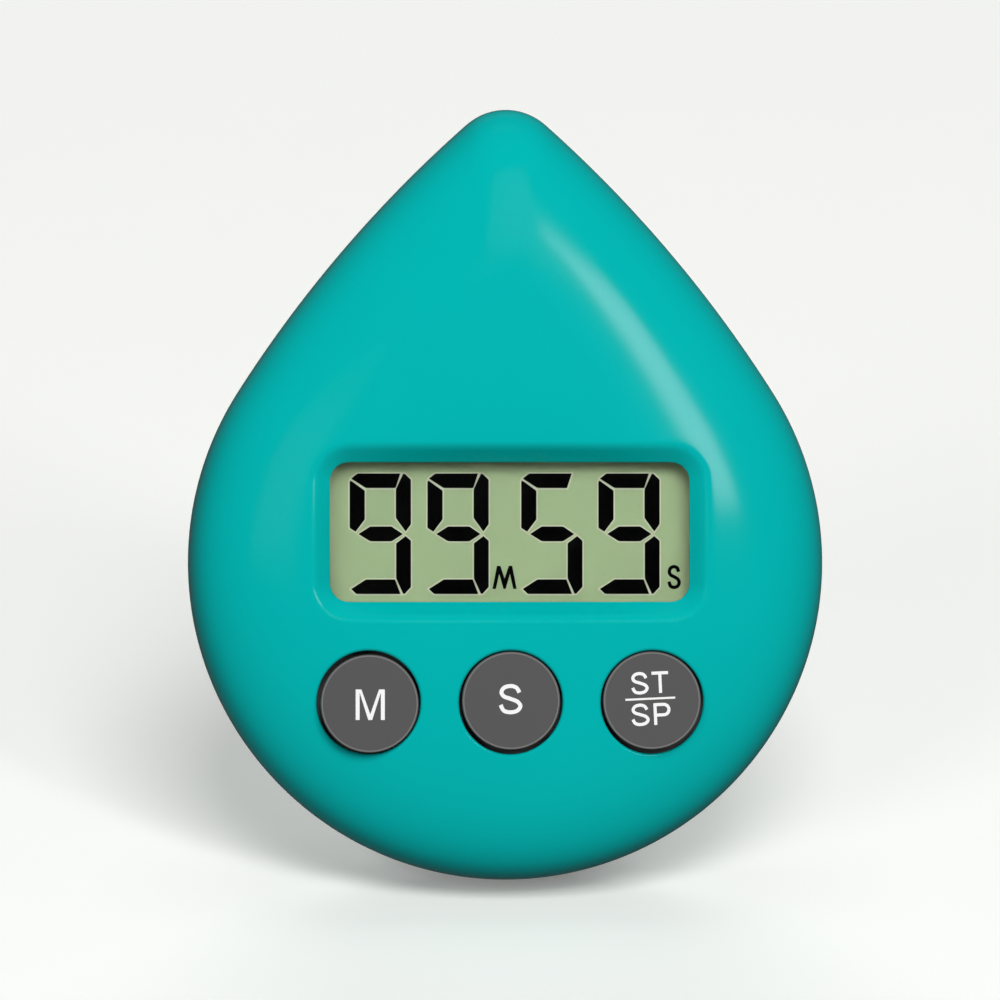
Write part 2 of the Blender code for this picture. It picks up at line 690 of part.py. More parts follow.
def cover_posts():
    """What the cavity leaves standing inside the cover: the stand's tray, magnet cups, screw tubes and buzzer rib."""
    group = cutter_group("cover_posts")
    side = STAND_WIDTH / 2 + FIT_GAP + STAND_SIDE_WALL
    top_y = HINGE_Y + HEEL_SWEEP + STAND_TO_DOOR
    block("stand_tray", (-side, 0, -PAST), (side, top_y, STAND_FLOOR_Z + WALL), group=group)
    heel_side = side + WALL / 4
    heel_low = (-heel_side, HINGE_Y - HEEL_SWEEP, -2 * PAST)
    block("heel_tray", heel_low, (heel_side, top_y + WALL / 4, HEEL_FLOOR_Z + WALL), group=group)
    for side_name, side_x in (("left", -MAGNET_X), ("right", MAGNET_X)):
        top = MAGNET_THICK - MAGNET_PROUD - BACK_DEPTH + SEAT_GAP + WALL / 2
        radius = MAGNET_RADIUS + HOLE_GAP + WALL / 2
        disc(f"magnet_cup_{side_name}", (side_x, MAGNET_Y), radius, -PAST, top, group=group)
    for name, place in CASE_SCREWS.items():
        disc(f"tube_{name}", place, TUBE_RADIUS, -PAST, -RIM, group=group, sides=SMALL_SIDES)
    rib_top = BACK_INNER_Z + BUZZER_RIB_HEIGHT
    rib_inner = BUZZER_RADIUS - BUZZER_RIB
    rib = [(BUZZER_RADIUS, rib_top), (BUZZER_RADIUS, -PAST), (rib_inner, -PAST), (rib_inner, rib_top)]
    turned("buzzer_rib", rib, (0, BUZZER_Y, 0), group=group, ring=True)
    return group


def cover_cuts():
    group = cutter_group("cover_cuts")
    stand_cuts(group)
    bay_cuts(group)
    for side_name, side_x in (("left", -MAGNET_X), ("right", MAGNET_X)):
        top = MAGNET_THICK - MAGNET_PROUD - BACK_DEPTH + SEAT_GAP
        radius = MAGNET_RADIUS + HOLE_GAP
        disc(f"magnet_pocket_{side_name}", (side_x, MAGNET_Y), radius, -2 * PAST, top, group=group)
    for name, place in CASE_SCREWS.items():
        sink = CASE_SCREW_HEAD + 2 * HOLE_GAP
        hole = CASE_SCREW_RADIUS + FIT_GAP
        disc(f"sink_{name}", place, sink, -2 * PAST, SCREW_SEAT_Z + FIT_GAP, group=group, sides=SMALL_SIDES)
        disc(f"screw_hole_{name}", place, hole, -2 * PAST, PAST, group=group, sides=SMALL_SIDES)
    sounds = arc(0, BUZZER_Y, SOUND_HOLE_RING, spread(0, 2 * math.pi, SOUND_HOLES + 1)[:-1])
    for i, place in enumerate([(0, BUZZER_Y), *sounds]):
        high = BACK_INNER_Z + BUZZER_RIB_HEIGHT / 2
        disc(f"sound_hole_{i}", place, SOUND_HOLE_RADIUS, -2 * PAST, high, group=group, sides=12)
    return group


def stand_cuts(group):
    side = STAND_WIDTH / 2 + FIT_GAP
    top_y = HINGE_Y + HEEL_SWEEP
    block("stand_recess", (-side, -PAST, -2 * PAST), (side, HINGE_Y, STAND_FLOOR_Z), group=group)
    heel_low_y = HINGE_Y - STAND_PIN_RADIUS
    block("heel_pocket", (-side, heel_low_y, -2 * PAST), (side, top_y, HEEL_FLOOR_Z), group=group)
    pin_half = STAND_WIDTH / 2 + STAND_PIN_REACH + FIT_GAP
    rod("pin_socket", (0, HINGE_Y, HINGE_Z), STAND_PIN_RADIUS + SEAT_GAP, pin_half, group=group)


def bay_cuts(group):
    low_y = BATTERY_Y - BAY_HALF_HEIGHT
    high_y = BATTERY_Y + BAY_HALF_HEIGHT
    low = (-BAY_HALF_LENGTH, low_y, -2 * PAST)
    block("bay", low, (BAY_HALF_LENGTH, high_y, BAY_FLOOR_Z), group=group)
    plate("door_rebate", door_outline(FIT_GAP), -2 * PAST, DOOR_Z + FIT_GAP, group=group)
    notch = (0, BATTERY_Y + DOOR_HALF_HEIGHT + FIT_GAP)
    disc("nail_notch", notch, NAIL_NOTCH_RADIUS, -2 * PAST, NAIL_NOTCH_DEPTH - BACK_DEPTH, group=group)
    lug_sweep = math.hypot(DOOR_HINGE_Y - DOOR_LOW_Y + LUG_REACH, DOOR_THICK / 2 + LUG_THICK) + FIT_GAP
    for side_name, side in (("left", -1), ("right", 1)):
        half = LUG_WIDTH / 2 + FIT_GAP
        low = (side * LUG_X - half, DOOR_LOW_Y - LUG_REACH - FIT_GAP, DOOR_Z - FIT_GAP)
        high = (side * LUG_X + half, low_y + FIT_GAP, DOOR_HINGE_Z + lug_sweep)
        block(f"lug_slot_{side_name}", low, high, group=group)
        tail_x = side * (CONTACT_X - CONTACT_THICK / 2)
        half = CONTACT_THICK / 2 + FIT_GAP
        tail_top = BAY_FLOOR_Z - SEAT_GAP
        low = (tail_x - half, BAY_LOW_Y - FIT_GAP, tail_top - TAIL_WIDTH - 2 * FIT_GAP)
        block(f"tail_slot_{side_name}", low, (tail_x + half, low_y + FIT_GAP, tail_top), group=group)


# Display


def make_display():
    lens = rounded_rectangle(
        WINDOW_WIDTH + 2 * LENS_BORDER, WINDOW_HEIGHT + 2 * LENS_BORDER, WINDOW_CORNER, WINDOW_Y
    )
    plate("display_lens", lens, LENS_Z - LENS_THICK, LENS_Z, CLEAR)
    side = GLASS_HALF_WIDTH
    sheets = (
        ("lcd_front_glass", FRONT_GLASS_LOW_Y, FRONT_GLASS_Z, GLASS_THICK, GLASS),
        ("lcd_rear_glass", REAR_GLASS_LOW_Y, REAR_GLASS_Z, GLASS_THICK, GLASS),
        ("lcd_reflector", REAR_GLASS_LOW_Y, REFLECTOR_Z, REFLECTOR_THICK, FILM),
    )
    for name, low_y, top_z, thick, look in sheets:
        block(name, (-side, low_y, top_z - thick), (side, GLASS_TOP_Y, top_z), look)
    zebra_y = FRONT_GLASS_LOW_Y + (CONTACT_LEDGE - ZEBRA_WIDTH) / 2
    low = (-WINDOW_WIDTH / 2, zebra_y, REAR_GLASS_Z - ZEBRA_HEIGHT)
    block("zebra_strip", low, (WINDOW_WIDTH / 2, zebra_y + ZEBRA_WIDTH, REAR_GLASS_Z), RUBBER)


# Buttons, each with its rubber dome and its contact pill


def make_button(name, x):
    cap_z = dome_height(x, BUTTON_Y) + CAP_PROUD
    edge = arc(CAP_RADIUS - CAP_EDGE, cap_z - CAP_EDGE, CAP_EDGE, spread(math.pi / 2, 0, 4))
    profile = [(0, cap_z), *edge]
    profile += [(CAP_RADIUS, FLANGE_Z), (FLANGE_RADIUS, FLANGE_Z)]
    profile += [(FLANGE_RADIUS, FLANGE_BACK_Z), (0, FLANGE_BACK_Z)]
    place = (x, BUTTON_Y, 0)
    button = turned(f"{name}_button", profile, place, GREY)
    key_end = x + KEY_SIDES[name] * (FLANGE_RADIUS + KEY_REACH)
    key_start = x + KEY_SIDES[name] * CAP_RADIUS
    low = (min(key_start, key_end), BUTTON_Y - KEY_WIDTH / 2, FLANGE_BACK_Z)
    high = (max(key_start, key_end), BUTTON_Y + KEY_WIDTH / 2, FLANGE_Z)
    combine(button, "UNION", block(f"{name}_key", low, high))

    pill_top = PILL_Z + PILL_THICK
    shoulder_z = DOME_FOOT_Z + DOME_FOOT
    skirt_z = pill_top + SEAT_GAP
    outer = [
        (0, DOME_TOP_Z),
        (PLUNGER_RADIUS, DOME_TOP_Z),
        (PLUNGER_RADIUS, skirt_z + DOME_RUBBER / 2),
        (DOME_FOOT_RADIUS - DOME_RUBBER, shoulder_z),
        (DOME_FOOT_RADIUS, shoulder_z),
        (DOME_FOOT_RADIUS, DOME_FOOT_Z),
    ]
    inner = [
        (DOME_FOOT_RADIUS - 2 * DOME_RUBBER, DOME_FOOT_Z),
        (DOME_FOOT_RADIUS - 2 * DOME_RUBBER, DOME_FOOT_Z + DOME_RUBBER / 2),
        (PLUNGER_RADIUS - DOME_RUBBER / 2, skirt_z),
        (0, skirt_z),
    ]
    turned(f"{name}_dome", outer + inner, place, RUBBER, sides=20)
    disc(f"{name}_pill", (x, BUTTON_Y), PILL_RADIUS, PILL_Z, pill_top, CARBON, sides=SMALL_SIDES)


# Circuit board and what it carries


def make_board():
    chord = math.asin((BOARD_TOP_Y - BELLY_RADIUS) / BOARD_RADIUS)
    outline = arc(0, BELLY_RADIUS, BOARD_RADIUS, spread(math.pi - chord, 2 * math.pi + chord, 36))
    board = plate("circuit_board", outline, BOARD_BACK_Z, BOARD_Z, BOARD)
    group = cutter_group("board_cuts")
    for name, place in CASE_SCREWS.items():
        radius = POST_RADIUS + FIT_GAP
        disc(f"board_notch_{name}", place, radius, -PAST, PAST, group=group, sides=SMALL_SIDES)
    for name, place in BOARD_SCREWS.items():
        radius = BOARD_SCREW_RADIUS + FIT_GAP
        disc(f"board_hole_{name}", place, radius, -PAST, PAST, group=group, sides=SMALL_SIDES)
    combine(board, "DIFFERENCE", group)

    solder_z = BOARD_BACK_Z - SEAT_GAP
    blob_radius, blob_height = 4.5 * MM, 1.5 * MM
    blob = [(0, solder_z)]
    for angle in spread(0, math.pi / 2, 5):
        blob.append((blob_radius * math.cos(angle), solder_z - blob_height * math.sin(angle)))
    turned("chip_blob", blob, (0, REAR_GLASS_LOW_Y, 0), EPOXY, sides=24)
    can_radius = 1.0 * MM
    can_place = (10.0 * MM, 31.0 * MM, solder_z - can_radius)
    rod("crystal_can", can_place, can_radius, 3.0 * MM, STEEL)
    disc("capacitor", (-12.0 * MM, 30.0 * MM), 2.0 * MM, solder_z - 5.3 * MM, solder_z, BLACK, sides=20)
    disc("buzzer_coil", (12.0 * MM, 24.0 * MM), 3.0 * MM, solder_z - 3.8 * MM, solder_z, BLACK, sides=20)


# Battery, contacts and leads


def make_battery():
    edge = 0.5 * MM
    body_end = BATTERY_LENGTH - NUB_LENGTH
    profile = [
        (0, BATTERY_LENGTH),
        (NUB_RADIUS, BATTERY_LENGTH),
        (NUB_RADIUS, body_end),
        (BATTERY_RADIUS - edge, body_end),
        (BATTERY_RADIUS, body_end - edge),
        (BATTERY_RADIUS, edge),
        (BATTERY_RADIUS - edge, 0),
        (0, 0),
    ]
    place = (BATTERY_END_X - BATTERY_LENGTH, BATTERY_Y, BATTERY_Z)
    cell = turned("battery_cell", profile, place, JACKET, sides=24)
    cell.rotation_euler.y = math.pi / 2
    for name, side in (("positive", 1), ("negative", -1)):
        inner = side * (CONTACT_X - CONTACT_THICK)
        outer = side * CONTACT_X
        left, right = min(inner, outer), max(inner, outer)
        half = CONTACT_WIDTH / 2
        low = (left, BATTERY_Y - half, BATTERY_Z - half)
        contact = block(f"{name}_contact", low, (right, BATTERY_Y + half, BATTERY_Z + half), STEEL)
        tail_top = BAY_FLOOR_Z - SEAT_GAP - FIT_GAP
        low = (left, BAY_LOW_Y - 2 * FIT_GAP, tail_top - TAIL_WIDTH)
        combine(contact, "UNION", block(f"{name}_tail", low, (right, BATTERY_Y, tail_top)))


def tube(name, points, radius, look, sharpness=1):
    """A round wire through points, with flat ends."""
    curve = bpy.data.curves.new(name, "CURVE")
    curve.dimensions = "3D"
    curve.bevel_depth = radius
    curve.bevel_resolution = sharpness
    curve.use_fill_caps = True
    spline = curve.splines.new("POLY")
    spline.points.add(len(points) - 1)
    for knot, point in zip(spline.points, points):
        knot.co = (*point, 1)
    curve.materials.append(look)
    obj = bpy.data.objects.new(name, curve)
    obj.parent = FRAME
    PARTS.objects.link(obj)
    return obj


def make_spring():
    """The conical coil that presses the cell onto the positive contact."""
    base_x = -(CONTACT_X - CONTACT_THICK - FIT_GAP) + SPRING_WIRE / 2
    tip_x = BATTERY_END_X - BATTERY_LENGTH - FIT_GAP - SPRING_WIRE / 2
    count = round(SPRING_TURNS * 12) + 1
    points = []
    for share in spread(0, 1, count):
        angle = 2 * math.pi * SPRING_TURNS * share
        radius = SPRING_BASE_RADIUS + (SPRING_TOP_RADIUS - SPRING_BASE_RADIUS) * share
        across = BATTERY_Y + radius * math.cos(angle)
        points.append(Vector((base_x + (tip_x - base_x) * share, across, BATTERY_Z + radius * math.sin(angle))))
    tube("battery_spring", points, SPRING_WIRE / 2, STEEL)
    apart = [
        (a - b).length
        for i, a in enumerate(points)
        for j, b in enumerate(points)
        if j - i > 6
    ]
    print(f"spring: least gap between turns {(min(apart) - SPRING_WIRE) / MM:.2f} mm")


def smooth_route(points, per_span=4):
    """A Catmull-Rom curve through the points of a wire's route."""
    route = [Vector(point) for point in points]
    padded = [2 * route[0] - route[1], *route, 2 * route[-1] - route[-2]]
    made = []
    for a, b, c, d in zip(padded, padded[1:], padded[2:], padded[3:]):
        for t in spread(0, 1, per_span + 1)[:-1]:
            made.append(
                0.5 * (2 * b + (c - a) * t + (2 * a - 5 * b + 4 * c - d) * t**2 + (3 * b - a - 3 * c + d) * t**3)
            )
    return [*made, route[-1]]


def make_leads():
    tail_y = BAY_LOW_Y - 3 * FIT_GAP
    tail_z = BAY_FLOOR_Z - SEAT_GAP - FIT_GAP - TAIL_WIDTH / 2
    tail_x = CONTACT_X - CONTACT_THICK / 2
    solder_z = BOARD_BACK_Z - FIT_GAP
    for name, side, look in (("positive_lead", 1, RED), ("negative_lead", -1, BLACK)):
        route = [
            (side * tail_x, tail_y, tail_z),
            (side * (tail_x - 0.3 * MM), tail_y - 1.2 * MM, tail_z - 0.5 * MM),
            (side * (tail_x - 2.0 * MM), tail_y - 2.2 * MM, tail_z - 0.3 * MM),
            (side * (tail_x - 3.4 * MM), tail_y - 2.6 * MM, tail_z + 0.8 * MM),
            (side * (tail_x - 3.7 * MM), tail_y - 2.7 * MM, solder_z),
        ]
        tube(name, smooth_route(route, 3), BATTERY_LEAD_RADIUS, look)
    disc_z = BUZZER_Z + BUZZER_THICK + FIT_GAP
    disc_y = BUZZER_Y - (BUZZER_RADIUS + CERAMIC_RADIUS) / 2 + 0.6 * MM
    bay_top_y = BATTERY_Y + BAY_HALF_HEIGHT + BAY_RIM
    gap_z = (BAY_Z + STACK_END_Z) / 2
    board_z = BOARD_Z + SEAT_GAP + BUZZER_LEAD_RADIUS
    for name, x in (("buzzer_lead_left", -2.0 * MM), ("buzzer_lead_right", 2.0 * MM)):
        route = [
            (x, disc_y, disc_z),
            (x, disc_y - 0.3 * MM, disc_z + 3.0 * MM),
            (x, bay_top_y + 4.2 * MM, gap_z - 3.6 * MM),
            (x, bay_top_y + 2.4 * MM, gap_z - 0.8 * MM),
            (x, bay_top_y - 0.4 * MM, gap_z),
            (x, BATTERY_Y, gap_z),
            (x, BAY_LOW_Y, (gap_z + board_z) / 2),
            (x, BOARD_TOP_Y - 1.5 * MM, board_z),
        ]
        tube(name, smooth_route(route, 3), BUZZER_LEAD_RADIUS, BLACK if x < 0 else RED)


# Buzzer, magnets and screws


def make_buzzer():
    centre = (0, BUZZER_Y)
    disc("buzzer_disc", centre, BUZZER_RADIUS, BUZZER_Z, BUZZER_Z + BUZZER_THICK, BRASS)
    low = BUZZER_Z + BUZZER_THICK + SEAT_GAP
    disc("buzzer_ceramic", centre, CERAMIC_RADIUS, low, low + BUZZER_THICK, CERAMIC)


def make_magnets():
    low = -BACK_DEPTH - MAGNET_PROUD
    for name, x in (("magnet_left", -MAGNET_X), ("magnet_right", MAGNET_X)):
        disc(name, (x, MAGNET_Y), MAGNET_RADIUS, low, low + MAGNET_THICK, FERRITE)


def make_screw(name, place, seat_z, length, radius, head_radius, head_height):
    """A pan-head screw seen tip up: its head lies below the seat."""
    edge = head_height / 3
    profile = [
        (0, seat_z + length),
        (radius, seat_z + length - 2 * radius),
        (radius, seat_z),
        (head_radius, seat_z),
        (head_radius, seat_z - head_height + edge),
        (head_radius - edge, seat_z - head_height),
        (0, seat_z - head_height),
    ]
    turned(name, profile, (*place, 0), STEEL, sides=SMALL_SIDES)


def make_screws():
    for name, place in CASE_SCREWS.items():
        make_screw(
            f"case_screw_{name}",
            place,
            SCREW_SEAT_Z,
            CASE_SCREW_LENGTH,
            CASE_SCREW_RADIUS,
            CASE_SCREW_HEAD,
            CASE_SCREW_HEAD_HEIGHT,
        )
    for name, place in BOARD_SCREWS.items():
        make_screw(
            f"board_screw_{name}",
            place,
            BOARD_BACK_Z - SEAT_GAP,
            BOARD_SCREW_GRIP,
            BOARD_SCREW_RADIUS,
            BOARD_SCREW_HEAD,
            BOARD_SCREW_HEAD_HEIGHT,
        )


# Stand and battery door


def make_stand():
    """The stand, with its origin on its hinge axis, opened until its foot reaches the table."""
    side = STAND_WIDTH / 2
    profile = stand_profile()
    rings = [[(x, y, z) for y, z in profile] for x in (-side, side)]
    stand = loft("stand", rings, TEAL, place=(0, HINGE_Y, HINGE_Z))
    stand.rotation_euler.x = STAND_OPEN
    plan = rounded_rectangle(STAND_WIDTH, 2 * STAND_LENGTH, STAND_CORNER, 0)
    trim = plate("stand_plan", plan, -STAND_THICK, STAND_THICK)
    pins = rod("stand_pins", (0, 0, 0), STAND_PIN_RADIUS, side + STAND_PIN_REACH)
    for helper in (trim, pins):
        helper.parent = stand
    combine(stand, "INTERSECT", trim)
    combine(stand, "UNION", pins)


def make_battery_door():
    """The door, with its origin on the axis that it tilts out about."""
    outline = [(x, y - DOOR_HINGE_Y) for x, y in door_outline(0)]
    half = DOOR_THICK / 2
    door = plate("battery_door", outline, -half, half, TEAL, place=(0, DOOR_HINGE_Y, DOOR_HINGE_Z))
    edge = door.modifiers.new("edge", "BEVEL")
    edge.width = 0.3 * MM
    edge.segments = 2
    low_y = DOOR_LOW_Y - DOOR_HINGE_Y
    helpers = []
    for side_name, side in (("left", -1), ("right", 1)):
        low = (side * LUG_X - LUG_WIDTH / 2, low_y - LUG_REACH, half)
        high = (side * LUG_X + LUG_WIDTH / 2, low_y + 2 * LUG_THICK, half + LUG_THICK)
        helpers.append(block(f"lug_{side_name}", low, high))
        stem_low = (low[0], low_y + DOOR_THICK / 2, 0)
        helpers.append(block(f"lug_stem_{side_name}", stem_low, high))
    latch_top = BATTERY_Y + BAY_HALF_HEIGHT - DOOR_HINGE_Y - 2 * HOLE_GAP
    low = (-LATCH_WIDTH / 2, latch_top - LATCH_THICK, 0)
    helpers.append(block("latch", low, (LATCH_WIDTH / 2, latch_top, half + LATCH_REACH)))
    for helper in helpers:
        helper.parent = door
        combine(door, "UNION", helper)


# Standing the timer up


def stand_up():
    """Leans the timer back on its stand and sets it on the table, centred over the origin."""
    FRAME.rotation_euler.x = math.pi / 2 - LEAN
    bpy.context.view_layer.update()
    graph = bpy.context.evaluated_depsgraph_get()
    corners = []
    for obj in PARTS.objects:
        if obj.type != "EMPTY":
            shape = obj.evaluated_get(graph).to_mesh()
            corners += [obj.matrix_world @ vertex.co for vertex in shape.vertices]
    depths = [corner.y for corner in corners]
    FRAME.location = (0, -(min(depths) + max(depths)) / 2, -min(corner.z for corner in corners))


make_front_shell()
make_back_cover()
make_display()
for button_name, button_x in BUTTONS.items():
    make_button(button_name, button_x)
make_board()
make_battery()
make_spring()
make_leads()
make_buzzer()
make_magnets()
make_screws()
make_stand()
make_battery_door()
stand_up()
print(f"stand opens {math.degrees(STAND_OPEN):.1f} degrees, back lies {BACK_DEPTH / MM:.2f} mm behind the parting plane")
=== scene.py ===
# %% [markdown]
# # A drop-shaped digital kitchen timer
# This lesson dresses a finished CAD timer for its portrait. The CAD model gives every piece its place and
# its motion. Here each surface that shows gets a fine mesh and a finish of its own.

# %% Load the frame
import math

import bpy
from mathutils import Matrix, Vector


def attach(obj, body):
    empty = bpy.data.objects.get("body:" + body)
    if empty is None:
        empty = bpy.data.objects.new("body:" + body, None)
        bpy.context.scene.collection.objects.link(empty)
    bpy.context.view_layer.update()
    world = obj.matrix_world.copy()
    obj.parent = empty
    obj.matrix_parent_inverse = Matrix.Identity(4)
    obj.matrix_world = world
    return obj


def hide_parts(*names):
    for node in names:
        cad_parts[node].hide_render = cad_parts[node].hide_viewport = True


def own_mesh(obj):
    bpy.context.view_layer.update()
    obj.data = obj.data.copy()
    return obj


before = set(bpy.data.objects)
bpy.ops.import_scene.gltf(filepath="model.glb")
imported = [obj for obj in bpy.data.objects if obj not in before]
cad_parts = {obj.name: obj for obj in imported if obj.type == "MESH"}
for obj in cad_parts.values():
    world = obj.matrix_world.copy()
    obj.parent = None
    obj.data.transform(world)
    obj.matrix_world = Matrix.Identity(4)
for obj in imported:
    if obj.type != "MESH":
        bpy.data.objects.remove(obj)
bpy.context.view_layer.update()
print("CAD nodes:", len(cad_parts))

# %% [markdown]
# ## One working frame
# The timer leans back on its stand, so nothing on its face is square to the world. Every piece is modelled
# lying on its back instead: x to the right, y up the face, z out of it. The case parts at z = 0. One matrix
# then carries a finished mesh to its place, which leaves its object at the origin.

# %% The face frame
MM = 0.001
LEAN = math.radians(18)
FACE = Matrix.Translation((0, -0.0124792, 0.0012215)) @ Matrix.Rotation(math.pi / 2 - LEAN, 4, "X")
print(f"the timer leans back {math.degrees(LEAN):.0f} degrees")


# %% Selecting, editing and finishing
def deselect():
    bpy.ops.object.select_all(action="DESELECT")


def choose(obj):
    """Makes one object the only selected and active one."""
    deselect()
    obj.select_set(True)
    bpy.context.view_layer.objects.active = obj


def edit(obj):
    choose(obj)
    bpy.ops.object.mode_set(mode="EDIT")
    bpy.ops.mesh.select_all(action="SELECT")


def leave_edit():
    bpy.ops.object.mode_set(mode="OBJECT")


def bake_place(obj):
    """Moves an object's place into its mesh."""
    choose(obj)
    bpy.ops.object.transform_apply(location=True, rotation=True, scale=True)


def finish_piece(obj, body, finish, node=None, angle=35):
    """Smooths a piece, stands it up with the timer and hands it to the body that it rides on."""
    bake_place(obj)
    bpy.ops.object.shade_smooth_by_angle(angle=math.radians(angle))
    obj.data.transform(FACE)
    obj.data.materials.clear()
    obj.data.materials.append(finish)
    step = obj.modifiers.new("flat faces stay flat", "WEIGHTED_NORMAL")
    step.keep_sharp = True
    bpy.ops.object.modifier_apply(modifier=step.name)
    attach(obj, body)
    if node:
        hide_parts(node)
    print(f"{obj.name}: {len(obj.data.polygons)} faces")


# %% [markdown]
# ## Wrapped sheets
# A moulded shell is a sleeve of rings. By hand one would extrude an outline and scale it, ring after ring.
# Here a flat grid of the right size is added and each row of it is laid on one ring, which gives the same
# mesh in one go. A size that stands alone is in metres. Tables of corners and profiles are in millimetres.
# Plain boxes and cylinders serve as cutters, and modifiers do the cutting and the rounding.

# %% Sleeves and prisms
WELD = 0.001 * MM


def sleeve(name, rings, closed=False):
    """A grid wrapped over rings of points: capped at both ends, or closed on itself like a tyre."""
    rows = [*rings, rings[0]] if closed else rings
    across = len(rows[0])
    deselect()
    bpy.ops.mesh.primitive_grid_add(x_subdivisions=across, y_subdivisions=len(rows) - 1)
    obj = bpy.context.object
    obj.name = name
    obj.data.name = name
    places = [axis for row in rows for point in [*row, row[0]] for axis in point]
    obj.data.vertices.foreach_set("co", places)
    edit(obj)
    bpy.ops.mesh.remove_doubles(threshold=WELD)
    if not closed:
        bpy.ops.mesh.select_all(action="SELECT")
        bpy.ops.mesh.fill_holes(sides=0)
    bpy.ops.mesh.select_all(action="SELECT")
    bpy.ops.mesh.normals_make_consistent(inside=False)
    leave_edit()
    return obj


def at_height(outline, z):
    return [(x, y, z) for x, y in outline]


def prism(name, outline, low, high):
    return sleeve(name, [at_height(outline, low), at_height(outline, high)])


# %% Boxes and discs
def box(name, low, high):
    """A box between two opposite corners."""
    low, high = Vector(low), Vector(high)
    deselect()
    bpy.ops.mesh.primitive_cube_add(size=1, location=(low + high) / 2, scale=high - low)
    obj = bpy.context.object
    obj.name = name
    bake_place(obj)
    return obj


def mm(*values):
    """Millimetres as metres."""
    return [value * MM for value in values]


def mm_box(name, low, high):
    """A box between two opposite corners in millimetres."""
    return box(name, mm(*low), mm(*high))


def disc(name, centre, radius, low, high, sides=64):
    deselect()
    bpy.ops.mesh.primitive_cylinder_add(
        vertices=sides, radius=radius, depth=high - low, location=(*centre, (low + high) / 2)
    )
    obj = bpy.context.object
    obj.name = name
    bake_place(obj)
    return obj


# %% Cuts, edges and joins
def combine(obj, operation, others):
    """Cuts, joins or trims a piece by others, which are used up."""
    for other in others:
        choose(obj)
        step = obj.modifiers.new("shape", "BOOLEAN")
        step.operation = operation
        step.object = other
        bpy.ops.object.modifier_apply(modifier=step.name)
        bpy.data.objects.remove(other)


def soften(obj, width, segments=2, angle=40):
    """Rounds the edges of a piece that are sharper than an angle."""
    choose(obj)
    step = obj.modifiers.new("edge", "BEVEL")
    step.width = width
    step.segments = segments
    step.limit_method = "ANGLE"
    step.angle_limit = math.radians(angle)
    step.use_clamp_overlap = True
    bpy.ops.object.modifier_apply(modifier=step.name)


def join(name, objs):
    """Makes one object of several, each keeping its own mesh."""
    choose(objs[0])
    for obj in objs[1:]:
        obj.select_set(True)
    if len(objs) > 1:
        bpy.ops.object.join()
    objs[0].name = name
    return objs[0]


# %% Outlines and turned forms
def arc(centre_x, centre_y, radius, start, end, count):
    angles = [start + (end - start) * i / (count - 1) for i in range(count)]
    return [(centre_x + radius * math.cos(a), centre_y + radius * math.sin(a)) for a in angles]


def circle(centre_x, centre_y, radius, sides=96):
    return arc(centre_x, centre_y, radius, 0, 2 * math.pi, sides + 1)[:-1]


def rounded_box(half_x, low_y, high_y, corner, steps=7):
    """A rectangle about x = 0 with round corners."""
    points = arc(half_x - corner, high_y - corner, corner, 0, math.pi / 2, steps)
    points += arc(corner - half_x, high_y - corner, corner, math.pi / 2, math.pi, steps)
    points += arc(corner - half_x, low_y + corner, corner, math.pi, math.pi * 1.5, steps)
    points += arc(half_x - corner, low_y + corner, corner, math.pi * 1.5, math.pi * 2, steps)
    return points


def turned(name, centre, profile, sides=96):
    """A profile of (radius, z) points from bottom to top, turned about an upright axis."""
    return sleeve(name, [at_height(circle(*centre, radius, sides), z) for radius, z in profile])


# %% [markdown]
# ## The drop and its crown
# The outline is three arcs: a round belly, a small round tip and a long flank that touches both. A ray from
# the crown finds the outline in any direction, and a superellipse along that ray gives the height of the
# crowned face.

# %% Outline by rays
BODY_HEIGHT = 84.97 * MM
BELLY_RADIUS = 34.985 * MM
TIP_RADIUS = 6.5 * MM
FLANK_RADIUS = 140.0 * MM
TIP_Y = BODY_HEIGHT - TIP_RADIUS
CROWN_Y = 37.0 * MM


def flank_centre():
    belly_gap = FLANK_RADIUS - BELLY_RADIUS
    tip_gap = FLANK_RADIUS - TIP_RADIUS
    span = TIP_Y - BELLY_RADIUS
    along = (belly_gap**2 - tip_gap**2 + span**2) / (2 * span)
    return -math.sqrt(belly_gap**2 - along**2), BELLY_RADIUS + along


FLANK_X, FLANK_Y = flank_centre()


def ray_to_circle(angle, centre_x, centre_y, radius):
    """Where a ray from the crown leaves a circle that holds the crown, or a circle ahead of it."""
    across, up = math.cos(angle), math.sin(angle)
    middle = across * centre_x + up * (centre_y - CROWN_Y)
    off = centre_x**2 + (centre_y - CROWN_Y) ** 2 - middle**2
    return middle + math.sqrt(max(radius**2 - off, 0))


def drop_reach(angle, inset=0.0):
    """Distance from the crown to the drop's outline, in one direction."""
    side = angle if math.cos(angle) >= 0 else math.pi - angle
    flank = ray_to_circle(side, FLANK_X, FLANK_Y, FLANK_RADIUS - inset)
    y = CROWN_Y + flank * math.sin(side)
    x = flank * math.cos(side)
    turn = math.atan2(y - FLANK_Y, x - FLANK_X)
    if turn < math.atan2(BELLY_RADIUS - FLANK_Y, -FLANK_X):
        return ray_to_circle(side, 0, BELLY_RADIUS, BELLY_RADIUS - inset)
    if turn > math.atan2(TIP_Y - FLANK_Y, -FLANK_X):
        return ray_to_circle(side, 0, TIP_Y, TIP_RADIUS - inset)
    return flank


def from_crown(angle, reach):
    return reach * math.cos(angle), CROWN_Y + reach * math.sin(angle)


def directions(count):
    return [2 * math.pi * (i + 0.5) / count for i in range(count)]


def drop_outline(inset=0.0, count=240):
    return [from_crown(a, drop_reach(a, inset)) for a in directions(count)]


up, aside = drop_reach(math.pi / 2), drop_reach(0)
print(f"outline: {up / MM:.2f} mm above the crown, {aside / MM:.2f} mm to its side")

